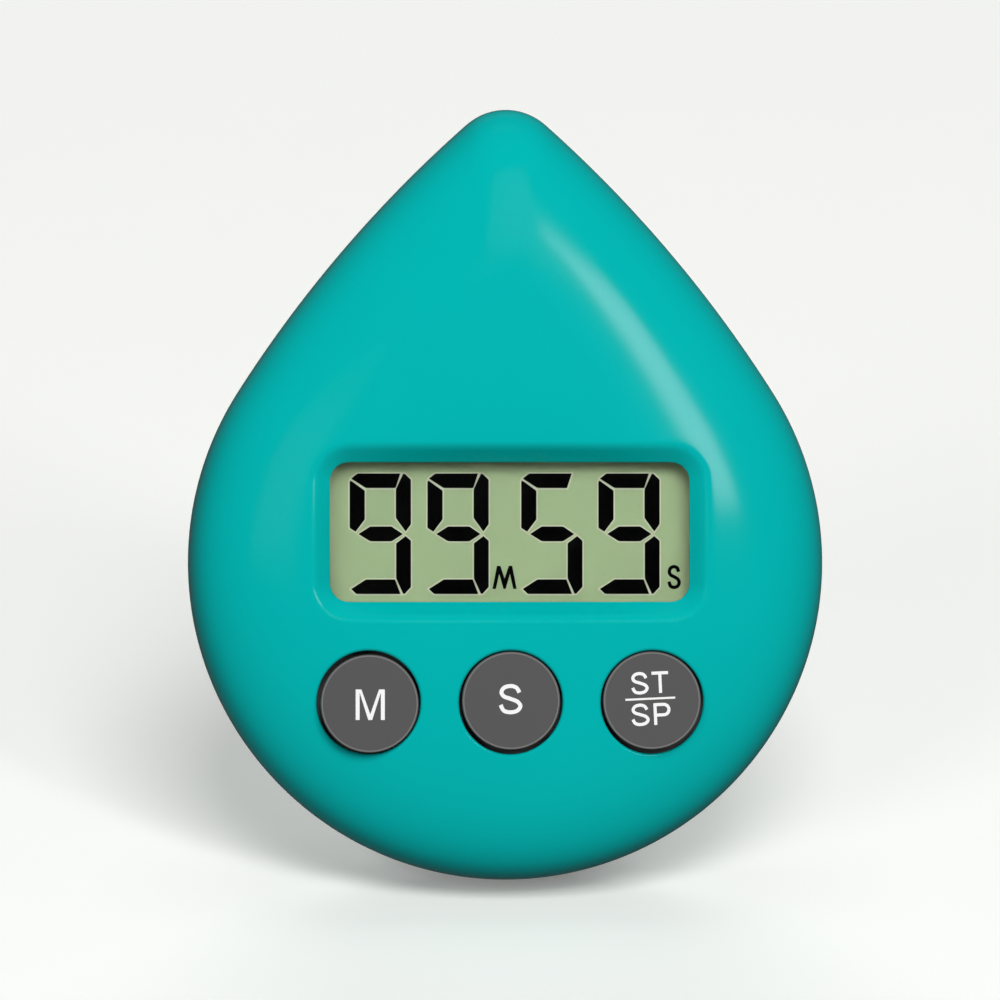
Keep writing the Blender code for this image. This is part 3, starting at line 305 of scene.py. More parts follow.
# %% Contours and height of the crown
FRONT_DEPTH = 13.0 * MM
DOME_POWER = 3.4
RIM = 0.15 * MM
SAMPLES = 360
HALVINGS = 30


def rounded_reach():
    """The outline's three longest waves: the rounder form that contours take towards the crown."""
    angles = directions(SAMPLES)
    reaches = [drop_reach(a) for a in angles]
    mean = sum(reaches) / len(reaches)
    rise = 2 * sum(r * math.sin(a) for r, a in zip(reaches, angles)) / len(reaches)
    stretch = 2 * sum(r * math.cos(2 * a) for r, a in zip(reaches, angles)) / len(reaches)
    return mean, rise, stretch


MEAN_REACH, REACH_RISE, REACH_STRETCH = rounded_reach()


def contour_reach(angle, edge, share, inset=0.0):
    """Distance from the crown to the contour at a share of the way out to the edge."""
    rounded = MEAN_REACH + REACH_RISE * math.sin(angle) + REACH_STRETCH * math.cos(2 * angle) - inset
    return share * (rounded + (edge - rounded) * share * share * (3 - 2 * share))


def share_at(angle, reach):
    """The contour's share that lies at a distance from the crown."""
    edge = drop_reach(angle)
    low, high = 0.0, 1.0
    for _ in range(HALVINGS):
        middle = (low + high) / 2
        if contour_reach(angle, edge, middle) < reach:
            low = middle
        else:
            high = middle
    return low


def dome_height(x, y):
    share = share_at(math.atan2(y - CROWN_Y, x), math.hypot(x, y - CROWN_Y))
    return RIM + (FRONT_DEPTH - RIM) * (1 - share**DOME_POWER) ** (1 / DOME_POWER)


print(f"face: {dome_height(0, CROWN_Y) / MM:.2f} mm high at its crown")


# %% [markdown]
# ## Finishes
# Moulded plastic is never one flat colour. A fine grain breaks its gloss, and slow clouds of pigment shift
# its tone a little. Painting that by hand would suit one piece only. Many materials need it here, so both
# effects sit in one node group with named inputs, and each material places it with its own values.

# %% Colours, node values and links
def linear(red, green, blue):
    """An sRGB colour from 0 to 255 as the linear colour that a shader takes."""
    shares = [value / 255 for value in (red, green, blue)]
    return tuple(s / 12.92 if s <= 0.04045 else ((s + 0.055) / 1.055) ** 2.4 for s in shares)


def fill(node, values):
    """Sets a node's inputs by their labels."""
    for label, value in values.items():
        node.inputs[label].default_value = value


def wire(tree, *links):
    """Makes links, each given as a node and its output, then a node and its input."""
    for start, output, end, label in links:
        tree.links.new(start.outputs[output], end.inputs[label])


def maths(nodes, operation, values):
    node = nodes.new("ShaderNodeMath")
    node.operation = operation
    fill(node, values)
    return node


# %% The grain as a node group
CLOUD_SCALE = 60
CLOUD_DETAIL = 4
GRAIN_DETAIL = 3


def effect_group(name, inputs, outputs):
    group = bpy.data.node_groups.new(name, "ShaderNodeTree")
    for label, kind, value in inputs:
        socket = group.interface.new_socket(label, in_out="INPUT", socket_type=kind)
        socket.default_value = value
    for label, kind in outputs:
        group.interface.new_socket(label, in_out="OUTPUT", socket_type=kind)
    return group, group.nodes.new("NodeGroupInput"), group.nodes.new("NodeGroupOutput")


def make_grain_group():
    """Moulded grain: a fine height, a roughness that wanders, and a colour that drifts."""
    group, given, made = effect_group(
        "moulded_grain",
        [
            ("Colour", "NodeSocketColor", (0.5, 0.5, 0.5, 1)),
            ("Drift", "NodeSocketFloat", 0.06),
            ("Grain Scale", "NodeSocketFloat", 4000.0),
            ("Roughness", "NodeSocketFloat", 0.4),
            ("Roughness Range", "NodeSocketFloat", 0.08),
        ],
        [("Colour", "NodeSocketColor"), ("Roughness", "NodeSocketFloat"), ("Height", "NodeSocketFloat")],
    )
    nodes = group.nodes
    place = nodes.new("ShaderNodeTexCoord")
    grain = nodes.new("ShaderNodeTexNoise")
    fill(grain, {"Detail": GRAIN_DETAIL})
    clouds = nodes.new("ShaderNodeTexNoise")
    fill(clouds, {"Scale": CLOUD_SCALE, "Detail": CLOUD_DETAIL})
    shift = maths(nodes, "SUBTRACT", {1: 0.5})
    wander = maths(nodes, "MULTIPLY_ADD", {})
    drift = maths(nodes, "MULTIPLY_ADD", {2: 1})
    tone = nodes.new("ShaderNodeHueSaturation")
    wire(
        group,
        (place, "Object", grain, "Vector"),
        (place, "Object", clouds, "Vector"),
        (given, "Grain Scale", grain, "Scale"),
        (clouds, "Fac", shift, 0),
        (shift, 0, wander, 0),
        (given, "Roughness Range", wander, 1),
        (given, "Roughness", wander, 2),
        (shift, 0, drift, 0),
        (given, "Drift", drift, 1),
        (given, "Colour", tone, "Color"),
        (drift, 0, tone, "Value"),
        (tone, "Color", made, "Colour"),
        (wander, 0, made, "Roughness"),
        (grain, "Fac", made, "Height"),
    )
    return group


GRAIN = make_grain_group()
print("grain group:", len(GRAIN.nodes), "nodes")

# %% Moulded materials
GRAIN_DEPTH = 0.05 * MM
COAT_ROUGHNESS = 0.12


def blank_material(name):
    made = bpy.data.materials.new(name)
    made.use_nodes = True
    return made, made.node_tree.nodes, made.node_tree.nodes["Principled BSDF"]


def moulded(
    name,
    colour,
    roughness,
    grain=0.05,
    drift=0.06,
    scale=4000.0,
    spread=0.08,
    coat=0.0,
    metallic=0.0,
    gloss=0.5,
):
    """A material with the moulded grain, for plastic, rubber and cast or rolled metal."""
    made, nodes, shader = blank_material(name)
    effect = nodes.new("ShaderNodeGroup")
    effect.node_tree = GRAIN
    fill(effect, {"Colour": (*colour, 1), "Drift": drift, "Grain Scale": scale})
    fill(effect, {"Roughness": roughness, "Roughness Range": spread})
    bump = nodes.new("ShaderNodeBump")
    fill(bump, {"Strength": grain, "Distance": GRAIN_DEPTH})
    fill(shader, {"Coat Weight": coat, "Coat Roughness": COAT_ROUGHNESS})
    fill(shader, {"Metallic": metallic, "Specular IOR Level": gloss})
    wire(
        made.node_tree,
        (effect, "Height", bump, "Height"),
        (effect, "Colour", shader, "Base Color"),
        (effect, "Roughness", shader, "Roughness"),
        (bump, "Normal", shader, "Normal"),
    )
    return made


# %% [markdown]
# ## Materials of the timer
# The front is polished, so a bright window draws a crisp streak on it, and the back is finely matt. Each
# finish takes its colour, its roughness and the strength of its grain here. The window and the pane are
# clear, with a faint smear in their gloss.

# %% Plastics, rubber and metals
TEAL = moulded("glossy_teal", linear(0, 180, 177), 0.14, grain=0.04, gloss=0.3)
TEAL_BACK = moulded("fine_matt_teal", linear(0, 172, 168), 0.5, grain=0.25, scale=2500)
GREY = moulded("cap_grey", linear(89, 88, 88), 0.42, grain=0.08)
# A paler grey for the painted highlight ring just inside each cap's round edge.
EDGE_HIGHLIGHT = moulded("painted_edge_highlight", linear(124, 122, 122), 0.4, grain=0.05)
PRINT_WHITE = moulded("white_print", linear(250, 250, 250), 0.5, grain=0.02, drift=0.02)
FILM = moulded("display_film", linear(186, 206, 162), 0.55, grain=0.05, drift=0.03, scale=9000)
SEGMENT = moulded("lit_segment", linear(8, 9, 8), 0.6, grain=0.02, gloss=0.0)
HALO = moulded("segment_edge", linear(226, 228, 208), 0.5, grain=0.02, drift=0.02)
RUBBER = moulded("milky_rubber", linear(196, 196, 190), 0.7, grain=0.1)
CARBON = moulded("contact_carbon", linear(30, 30, 30), 0.85, grain=0.3)
BOARD = moulded("green_laminate", linear(24, 110, 62), 0.42, grain=0.15, scale=1500)
EPOXY = moulded("epoxy_drop", linear(18, 18, 18), 0.25, grain=0.1, scale=900)
STEEL = moulded("plated_steel", linear(200, 200, 196), 0.28, grain=0.08, metallic=1.0)
BRASS = moulded("rolled_brass", linear(214, 178, 104), 0.3, grain=0.1, metallic=1.0)
CERAMIC = moulded("fired_ceramic", linear(226, 224, 216), 0.5, grain=0.1)
FERRITE = moulded("pressed_ferrite", linear(62, 62, 65), 0.55, grain=0.5, scale=1800)
RED = moulded("red_vinyl", linear(186, 30, 30), 0.45, grain=0.1)
BLACK = moulded("black_vinyl", linear(28, 28, 28), 0.45, grain=0.1)
JACKET = moulded("cell_jacket", linear(60, 62, 66), 0.3, grain=0.05, coat=0.3)
print("moulded materials:", len(bpy.data.materials))

# %% Clear sheets
SMEAR_SCALE = 120


def clear(name, colour, roughness, ior):
    """A clear sheet whose roughness wanders between half its value and all of it."""
    made, nodes, shader = blank_material(name)
    fill(shader, {"Base Color": (*colour, 1), "Transmission Weight": 1, "IOR": ior})
    place = nodes.new("ShaderNodeTexCoord")
    smear = nodes.new("ShaderNodeTexNoise")
    fill(smear, {"Scale": SMEAR_SCALE})
    reach = nodes.new("ShaderNodeMapRange")
    fill(reach, {"To Min": roughness / 2, "To Max": roughness})
    wire(
        made.node_tree,
        (place, "Object", smear, "Vector"),
        (smear, "Fac", reach, "Value"),
        (reach, "Result", shader, "Roughness"),
    )
    return made


LENS = clear("window_acrylic", (0.97, 0.985, 0.97), 0.02, 1.2)
PANE = clear("display_pane", (0.96, 0.98, 0.94), 0.02, 1.1)
print("clear materials:", LENS.name, PANE.name)

# %% [markdown]
# ## Pieces kept from the CAD
# Inside the case nothing shows but the display, so those pieces stay as they are and take a better finish.

# %% Finishes for the CAD nodes
KEPT = {
    "display_lens": LENS,
    "lcd_front_glass": PANE,
    "lcd_rear_glass": FILM,
    "lcd_reflector": FILM,
    "zebra_strip": RUBBER,
    "circuit_board": BOARD,
    "chip_blob": EPOXY,
    "crystal_can": STEEL,
    "capacitor": BLACK,
    "buzzer_coil": BLACK,
    "battery_cell": JACKET,
    "battery_spring": STEEL,
    "negative_contact": STEEL,
    "positive_contact": STEEL,
    "positive_lead": RED,
    "negative_lead": BLACK,
    "buzzer_lead_left": BLACK,
    "buzzer_lead_right": RED,
    "buzzer_disc": BRASS,
    "buzzer_ceramic": CERAMIC,
    "magnet_left": FERRITE,
    "magnet_right": FERRITE,
    "stand": TEAL_BACK,
    "battery_door": TEAL_BACK,
    "front_shell": TEAL,
    "back_cover": TEAL_BACK,
}
for name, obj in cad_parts.items():
    finish = KEPT.get(name)
    if name.endswith("_dome"):
        finish = RUBBER
    elif name.endswith("_pill"):
        finish = CARBON
    elif "screw" in name:
        finish = STEEL
    elif name.endswith("_button"):
        finish = GREY
    for slot in obj.material_slots:
        slot.material = finish
print("finished CAD nodes:", len(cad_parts))

# %% [markdown]
# ## Front shell
# The front is one glossy moulding. Its crowned face runs down to the parting line, and round the window it
# rolls over a soft lip into a cove. A sculpted plane could give that form, but its gloss would show every
# dent. So it is one closed sleeve of exact rings: up the outside, over the crown, down the cove and back
# along the parting plane.

# %% Rings of the crowned face
WINDOW_WIDTH = 39.4 * MM
WINDOW_HEIGHT = 15.3 * MM
WINDOW_CORNER = 2.1 * MM
WINDOW_Y = 38.4 * MM
RECESS_BORDER = 2.35 * MM
APERTURE_Z = 10.8 * MM
LAND_Z = 10.3 * MM
AROUND = 480
DOME_RINGS = 40
COVE_RINGS = 14
LIP_SHARE = 0.45
WINDOW_HALVINGS = 40
RIM_FILLET = 0.25 * MM
RIM_STEPS = [(inset * RIM_FILLET, rise * RIM_FILLET) for inset, rise in ((1, 0), (0.3, 0.3), (0, 1))]


def rect_reach(angle, border):
    """Distance from the crown to the window's outline, moved outwards by a border."""
    half_x = WINDOW_WIDTH / 2 + border
    half_y = WINDOW_HEIGHT / 2 + border
    corner = WINDOW_CORNER + border
    low, high = 0.0, 2 * half_x
    for _ in range(WINDOW_HALVINGS):
        reach = (low + high) / 2
        x, y = from_crown(angle, reach)
        beyond_x = max(abs(x) - half_x + corner, 0)
        beyond_y = max(abs(y - WINDOW_Y) - half_y + corner, 0)
        if math.hypot(beyond_x, beyond_y) < corner:
            low = reach
        else:
            high = reach
    return low


def cove_fall(share):
    """Fall of the cove from its lip to the window: a round lip and then a straight slope."""
    steep = 1 / (LIP_SHARE**2 + 2 * LIP_SHARE * (1 - LIP_SHARE))
    if share < LIP_SHARE:
        return steep * share**2
    return steep * LIP_SHARE**2 + 2 * steep * LIP_SHARE * (share - LIP_SHARE)


def crown_rings():
    angles = directions(AROUND)
    outer = [drop_reach(a) for a in angles]
    lip = [rect_reach(a, RECESS_BORDER) for a in angles]
    rings = []
    for inset, rise in RIM_STEPS:
        rings.append([(*from_crown(a, drop_reach(a, inset)), RIM + rise) for a in angles])
    for step in range(1, DOME_RINGS + 1):
        ring = []
        for angle, reach, near in zip(angles, outer, lip):
            start = math.asin(share_at(angle, near) ** (DOME_POWER / 2))
            turn = math.pi / 2 + (start - math.pi / 2) * step / DOME_RINGS
            share = math.sin(turn) ** (2 / DOME_POWER)
            z = RIM + (FRONT_DEPTH - RIM) * math.cos(turn) ** (2 / DOME_POWER)
            if z > RIM + RIM_FILLET:
                ring.append((*from_crown(angle, contour_reach(angle, reach, share)), z))
        if len(ring) == AROUND:
            rings.append(ring)
    for step in range(1, COVE_RINGS + 1):
        share = step / COVE_RINGS
        ring = []
        for angle in angles:
            x, y = from_crown(angle, rect_reach(angle, RECESS_BORDER * (1 - share)))
            face = dome_height(x, y)
            ring.append((x, y, face + cove_fall(share) * (APERTURE_Z - face)))
        rings.append(ring)
    for z in (LAND_Z, RIM):
        rings.append([(*from_crown(a, rect_reach(a, 0)), z) for a in angles])
    return rings


front = sleeve("front_moulding", crown_rings(), closed=True)
print("front sleeve:", len(front.data.vertices), "points")

# %% [markdown]
# ## Button holes
# A hole in a moulded face has a small round edge. A bevel on a cut through a curved face often comes out
# jagged, so the cut is made a little too wide, and a turned collar that carries the round edge fills it
# exactly.

# %% Holes and their collars
BUTTON_Y = 19.8 * MM
BUTTON_PITCH = 15.5 * MM
BUTTONS = {"minute": -BUTTON_PITCH, "second": 0.0, "start_stop": BUTTON_PITCH}
HOLE_RADIUS = 5.65 * MM
HOLE_ROUND = 0.35 * MM
HOLE_STEPS = 9
COLLAR_RADIUS = HOLE_RADIUS + 0.7 * MM
BUTTON_SEAT_Z = 9.8 * MM
BELOW_CASE = -5 * MM
ABOVE_FACE = 20 * MM


def face_ring(x, radius, fall=0.0):
    """A ring about a button's axis, on the crowned face or a little below it."""
    return [(px, py, dome_height(px, py) - fall) for px, py in circle(x, BUTTON_Y, radius)]


def hole_collar(name, x):
    """The edge of a button hole: up from its seat, in along the face, over a round edge and down the hole."""
    edge = HOLE_RADIUS + HOLE_ROUND
    rings = [at_height(circle(x, BUTTON_Y, COLLAR_RADIUS), BUTTON_SEAT_Z)]
    rings += [face_ring(x, COLLAR_RADIUS), face_ring(x, (COLLAR_RADIUS + edge) / 2)]
    for along, up in arc(0, 0, HOLE_ROUND, math.pi / 2, math.pi, HOLE_STEPS):
        rings.append(face_ring(x, edge + along, HOLE_ROUND - up))
    rings.append(at_height(circle(x, BUTTON_Y, HOLE_RADIUS), BUTTON_SEAT_Z))
    return sleeve(f"{name}_collar", rings, closed=True)


collars = [hole_collar(name, x) for name, x in BUTTONS.items()]
for name, x in BUTTONS.items():
    hole = prism(f"{name}_hole", circle(x, BUTTON_Y, COLLAR_RADIUS), BELOW_CASE, ABOVE_FACE)
    combine(front, "DIFFERENCE", [hole])
print("front with holes:", len(front.data.polygons), "faces")

# %% [markdown]
# ## Inside of the front
# The moulding has an even wall, so its inside repeats the crown one wall further in. A frame for the
# display and a collar behind each hole stay standing, and the lens, the glass and the caps sit in pockets.

# %% Cavity of the front
WALL = 1.8 * MM
INNER_AROUND = 120
INNER_RINGS = 10
CAVITY_LOW_Z = -2 * MM
DISPLAY_FRAME = ((-23.4, 25.85, 6.6), (23.4, 49.75, 20))
GLASS_POCKET = ((-22.6, 26.65, 2), (22.6, 48.95, 9.35))
LENS_POCKET = ((-21.5, 28.95, 2), (21.5, 47.85, LAND_Z / MM))
COLLAR_OUTER = 7.05 * MM
WELL_RADIUS = 6.45 * MM
WELL_LOW_Z = 5 * MM


def cavity_rings():
    rings = []
    for step in range(1, INNER_RINGS + 1):
        turn = math.pi / 2 * step / INNER_RINGS
        share = math.sin(turn) ** (2 / DOME_POWER)
        z = RIM + (FRONT_DEPTH - WALL - RIM) * math.cos(turn) ** (2 / DOME_POWER)
        ring = []
        for angle in directions(INNER_AROUND):
            ring.append((*from_crown(angle, contour_reach(angle, drop_reach(angle, WALL), share, WALL)), z))
        rings.append(ring)
    rings.append([(x, y, CAVITY_LOW_Z) for x, y, _ in rings[-1]])
    return rings


def behind_buttons(name, radius, low, high):
    return [disc(f"{button}_{name}", (x, BUTTON_Y), radius, low, high) for button, x in BUTTONS.items()]


cavity = sleeve("front_cavity", cavity_rings())
combine(cavity, "DIFFERENCE", [mm_box("display_frame", *DISPLAY_FRAME)])
combine(cavity, "DIFFERENCE", behind_buttons("collar_back", COLLAR_OUTER, BUTTON_SEAT_Z, ABOVE_FACE))
combine(front, "DIFFERENCE", [cavity])
combine(front, "DIFFERENCE", [mm_box("glass_pocket", *GLASS_POCKET), mm_box("lens_pocket", *LENS_POCKET)])
combine(front, "DIFFERENCE", behind_buttons("well", WELL_RADIUS, WELL_LOW_Z, BUTTON_SEAT_Z))
finish_piece(join("front_moulding", [front, *collars]), "case", TEAL, "front_shell")

# %% [markdown]
# ## Display
# A liquid crystal draws each digit with up to seven segments between two panes of glass. A printed texture
# would blur close up. So each segment is a thin flat shape in the gap between the panes, over a slightly
# larger pale shape that gives it its fine edge.

# %% Segments of the digits
DIGIT_WIDTH = 218
DIGIT_HEIGHT = 432
GRID = 6.73 * MM / DIGIT_WIDTH
SEGMENTS = {
    "top": [(28, 2), (180, 2), (163, 54), (58, 54), (5, 20)],
    "upper_left": [(0, 31), (4, 27), (54, 63), (54, 165), (21, 209), (0, 195)],
    "upper_right": [(190, 3), (196, 3), (218, 24), (218, 182), (199, 208), (164, 160), (164, 58)],
    "middle": [(31, 217), (73, 190), (149, 190), (189, 217), (149, 243), (73, 243)],
    "lower_right": [(165, 250), (199, 224), (218, 241), (218, 405), (196, 429), (190, 429), (165, 374)],
    "bottom": [(5, 412), (58, 378), (161, 378), (181, 430), (24, 430)],
}
NINE = ("top", "upper_left", "upper_right", "middle", "lower_right", "bottom")
FIVE = ("top", "upper_left", "middle", "lower_right", "bottom")
DIGITS = ((-14.1 * MM, NINE), (-5.57 * MM, NINE), (4.72 * MM, FIVE), (13.2 * MM, NINE))
DIGIT_DROP = 0.2 * MM
EDGE_WIDTH = 0.15 * MM
MITRE_LIMIT = 1.5
EDGE_Z = (8.115 * MM, 8.13 * MM)
SEGMENT_Z = (8.14 * MM, 8.17 * MM)


def on_display(points, centre_x):
    """Grid points of a digit, y down, as places on the display."""
    top = WINDOW_Y - DIGIT_DROP + DIGIT_HEIGHT / 2 * GRID
    return [(centre_x + (x - DIGIT_WIDTH / 2) * GRID, top - y * GRID) for x, y in points]


def grown(points, width):
    """An outline of any turn moved outwards by a width, with mitred corners."""
    area = sum(a[0] * b[1] - b[0] * a[1] for a, b in zip(points, points[1:] + points[:1]))
    sign = 1 if area > 0 else -1
    made = []
    for before, here, after in zip([points[-1], *points], points, [*points[1:], points[0]]):
        into = (Vector(here) - Vector(before)).normalized()
        out = (Vector(after) - Vector(here)).normalized()
        normal = Vector((into.y, -into.x)) + Vector((out.y, -out.x))
        reach = min(2 / normal.length_squared, MITRE_LIMIT)
        made.append(tuple(Vector(here) + sign * width * reach * normal))
    return made


lit, edges = [], []
for centre_x, parts in DIGITS:
    for part in parts:
        outline = on_display(SEGMENTS[part], centre_x)
        lit.append(prism("segment", outline, *SEGMENT_Z))
        edges.append(prism("segment_edge", grown(outline, EDGE_WIDTH), *EDGE_Z))
print("segments:", len(lit))


# %% [markdown]
# ## Drawn letters
# The marks are plain letters of even weight. A text object would bring the letter forms of its font, so
# each letter is drawn as an outline. A curved one starts as a smooth line through a few knots, and a stroke
# of the right width is laid along that line.

# %% Paths and strokes
S_KNOTS = (
    (0.9, 0.5),
    (0.6, 0.87),
    (0.0, 1.0),
    (-0.64, 0.87),
    (-0.92, 0.53),
    (-0.66, 0.21),
    (0.02, 0.02),
    (0.7, -0.19),
    (1.0, -0.52),
    (0.7, -0.87),
    (0.0, -1.0),
    (-0.68, -0.87),
    (-1.0, -0.44),
)


def smooth_path(knots, steps=6):
    """Points of a smooth line that passes through knots."""
    ends = [knots[0], *knots, knots[-1]]
    path = []
    for around in zip(ends, ends[1:], ends[2:], ends[3:]):
        for step in range(steps):
            t = step / steps
            weights = (-t + 2 * t**2 - t**3, 2 - 5 * t**2 + 3 * t**3, t + 4 * t**2 - 3 * t**3, t**3 - t**2)
            path.append(sum((Vector(knot) * w / 2 for knot, w in zip(around, weights)), Vector((0, 0))))
    return [*path, Vector(knots[-1])]


def stroke(path, width):
    """The outline of a line of even width along a path, with mitred turns and square ends."""
    path = [Vector(point) for point in path]
    runs = [(after - here).normalized() for here, after in zip(path, path[1:])]
    left, right = [], []
    for here, into, out in zip(path, [runs[0], *runs], [*runs, runs[-1]]):
        normal = Vector((-into.y - out.y, into.x + out.x))
        side = normal * width / normal.length_squared
        left.append(tuple(here + side))
        right.append(tuple(here - side))
    return left + right[::-1]


# %% Letter outlines
P_WAIST = -0.1
BOWL_STEPS = 13
M_SHOULDER = 1.45
M_ARMPIT = 0.8


def mirrored(half):
    """An outline from its half on one side of x = 0, whose points on x = 0 aren't doubled."""
    return half + [(-x, y) for x, y in reversed(half) if x]


def letter_outline(letter, width, height, weight):
    """The outline of a letter about its centre."""
    half_x, half_y = width / 2, height / 2
    line_x, line_y = half_x - weight / 2, half_y - weight / 2
    if letter == "S":
        return stroke([(x * line_x, y * line_y) for x, y in smooth_path(S_KNOTS)], weight)
    if letter == "P":
        waist = P_WAIST * half_y
        radius = (line_y - waist) / 2
        bowl = arc(line_x - radius, waist + radius, radius, math.pi / 2, -math.pi / 2, BOWL_STEPS)
        return stroke([(-line_x, -half_y), (-line_x, line_y), *bowl, (weight - half_x, waist)], weight)
    stem = weight / 2
    if letter == "T":
        half = [(stem, -half_y), (stem, half_y - weight), (half_x, half_y - weight), (half_x, half_y)]
    else:
        half = [
            (stem, -half_y),
            (half_x - weight, half_y * M_ARMPIT),
            (half_x - weight, -half_y),
            (half_x, -half_y),
            (half_x, half_y),
            (half_x - M_SHOULDER * weight, half_y),
            (0, M_SHOULDER * weight - half_y),
        ]
    return mirrored(half)


def letter(name, centre, size, low, high):
    """A thin letter lying on the face. Its size is width, height and weight."""
    outline = letter_outline(name, *size)
    return prism(f"letter_{name}", [(centre[0] + x, centre[1] + y) for x, y in outline], low, high)


# %% Unit letters on the display
UNIT_M = mirrored([(4, -41), (19, 12), (31, -41), (43, -41), (27, 41), (15, 41), (0, -4)])
UNIT_M_PLACE = (-0.47 * MM, WINDOW_Y - 4.98 * MM)
UNIT_S_PLACE = (18.15 * MM, WINDOW_Y - 4.95 * MM)
UNIT_S_SIZE = (1.5 * MM, 2.66 * MM, 0.38 * MM)
unit_m = [(UNIT_M_PLACE[0] + x * GRID, UNIT_M_PLACE[1] + y * GRID) for x, y in UNIT_M]
lit.append(prism("minute_sign", unit_m, *SEGMENT_Z))
lit.append(letter("S", UNIT_S_PLACE, UNIT_S_SIZE, *SEGMENT_Z))
finish_piece(join("display_segments", lit), "case", SEGMENT)
finish_piece(join("display_segment_edges", edges), "case", HALO)

# %% [markdown]
# ## Push buttons
# Each cap is a turned plug with a small round edge and a flange that keeps it in its hole. A row of rings
# gives the profile, as a spin of the half section would, and an ear on the flange stops it turning. A cap
# is loose, so it rests a little off the centre of its hole, and the gap is wider on one side. The marks are
# thin print on the cap, and a pale ring just inside each cap's edge is a painted highlight.

# %% Caps
CAP_RADIUS = 5.35 * MM
CAP_PROUD = 0.54 * MM
CAP_EDGE = 0.1 * MM
CAP_STEPS = 8
# Inner and outer radius of a pale ring on each cap top: a painted highlight of its round edge.
CAP_HIGHLIGHT_RING = (5.12 * MM, 5.24 * MM)
CAP_PLAY = {"minute": (0.08, -0.12), "second": (0, 0.2), "start_stop": (-0.06, 0.2)}
FLANGE_Z = 9.5 * MM
FLANGE_BACK_Z = 8.7 * MM
FLANGE_RADIUS = 6.1 * MM
FLANGE_EDGE = 0.2 * MM
KEY_WIDTH = 1.6 * MM
KEY_END = 6.9 * MM
KEY_INSET = 0.05 * MM
KEY_SIDES = {"minute": 1, "second": 1, "start_stop": -1}
PRINT_THICK = 0.02 * MM


def cap_centre(name):
    right, up = mm(*CAP_PLAY[name])
    return BUTTONS[name] + right, BUTTON_Y + up


def make_cap(name, x):
    top = dome_height(x, BUTTON_Y) + CAP_PROUD
    centre = cap_centre(name)
    profile = [
        (FLANGE_RADIUS - FLANGE_EDGE, FLANGE_BACK_Z),
        (FLANGE_RADIUS, FLANGE_BACK_Z + FLANGE_EDGE),
        (FLANGE_RADIUS, FLANGE_Z),
        (CAP_RADIUS, FLANGE_Z),
        (CAP_RADIUS, (FLANGE_Z + top) / 2),
    ]
    profile += arc(CAP_RADIUS - CAP_EDGE, top - CAP_EDGE, CAP_EDGE, 0, math.pi / 2, CAP_STEPS)
    cap = turned(f"{name}_cap", centre, profile)
    ends = sorted((x + KEY_SIDES[name] * CAP_RADIUS, x + KEY_SIDES[name] * KEY_END))
    low = (ends[0], BUTTON_Y - KEY_WIDTH / 2, FLANGE_BACK_Z + KEY_INSET)
    high = (ends[1], BUTTON_Y + KEY_WIDTH / 2, FLANGE_Z - KEY_INSET)
    combine(cap, "UNION", [box("ear", low, high)])
    finish_piece(cap, f"{name}_key", GREY, f"{name}_button")
    # A thin pale ring on the flat top, just inside the round edge, is a painted highlight of that edge.
    inner, outer = CAP_HIGHLIGHT_RING
    low, high = top - PRINT_THICK / 2, top + PRINT_THICK / 2
    corners = ((inner, low), (outer, low), (outer, high), (inner, high))
    line = sleeve(f"{name}_painted_highlight_ring", [at_height(circle(*centre, r), z) for r, z in corners], closed=True)
    finish_piece(line, f"{name}_key", EDGE_HIGHLIGHT)
    return top


# %% Marks on the caps
MARKS = {
    "minute": [("M", 0.06, -0.11, 3.18, 3.33, 0.43)],
    "second": [("S", -0.07, 0.175, 2.58, 3.3, 0.43)],
    "start_stop": [
        ("S", -1.264, 1.94, 1.92, 2.46, 0.34),
        ("T", 0.98, 1.96, 1.82, 2.36, 0.34),
        ("S", -1.35, -1.51, 2.0, 2.46, 0.34),
        ("P", 1.053, -1.5, 1.85, 2.38, 0.34),
    ],
}
MARK_TURN = {"minute": 0.0, "second": 0.0, "start_stop": math.radians(2.6)}
RULE = (-0.18, 0.2, 5.46, 0.22)
for name, x in BUTTONS.items():
    top = make_cap(name, x)
    print_low, print_high = top - PRINT_THICK / 2, top + PRINT_THICK / 2
    pieces = []
    for sign, right, up, *size in MARKS[name]:
        pieces.append(letter(sign, mm(right, up), mm(*size), print_low, print_high))
    if name == "start_stop":
        right, up, width, height = mm(*RULE)
        low = (right - width / 2, up - height / 2, print_low)
        pieces.append(box("rule", low, (right + width / 2, up + height / 2, print_high)))
    mark = join(f"{name}_mark", pieces)
    mark.data.transform(Matrix.Translation((*cap_centre(name), 0)) @ Matrix.Rotation(MARK_TURN[name], 4, "Z"))
    finish_piece(mark, f"{name}_key", PRINT_WHITE)

# %% [markdown]
# ## Rubber domes
# A soft dome under each cap gives the click and pushes the cap back. It is turned like the cap, and each
# dome keeps a mesh of its own.

# %% Domes under the caps
DOME = ((2.1, 7.3), (3.7, 6.0), (3.7, 5.7), (4.9, 5.7), (4.9, 6.3), (4.3, 6.3), (2.4, 7.6), (2.4, 8.4))
DOME_SIDES = 48
for name, x in BUTTONS.items():
    dome = turned(f"{name}_rubber", (x, BUTTON_Y), [mm(*point) for point in DOME], DOME_SIDES)
    finish_piece(dome, "case", RUBBER, f"{name}_dome")
    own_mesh(dome)

# %% [markdown]
# ## Window
# The clear window is a small moulded sheet behind the cove. A plain box would do behind the lip, but light
# catches the edge of a clear sheet, so its outline has round corners and a bevel softens its edge.

# %% Lens
LENS_BORDER = 1.5 * MM
LENS_Z = (9.4 * MM, 10.2 * MM)
LENS_EDGE = 0.12 * MM

half_sheet = WINDOW_HEIGHT / 2 + LENS_BORDER
sheet = rounded_box(
    WINDOW_WIDTH / 2 + LENS_BORDER, WINDOW_Y - half_sheet, WINDOW_Y + half_sheet, WINDOW_CORNER
)
lens = prism("window_sheet", sheet, *LENS_Z)
soften(lens, LENS_EDGE)
finish_piece(lens, "case", LENS, "display_lens")

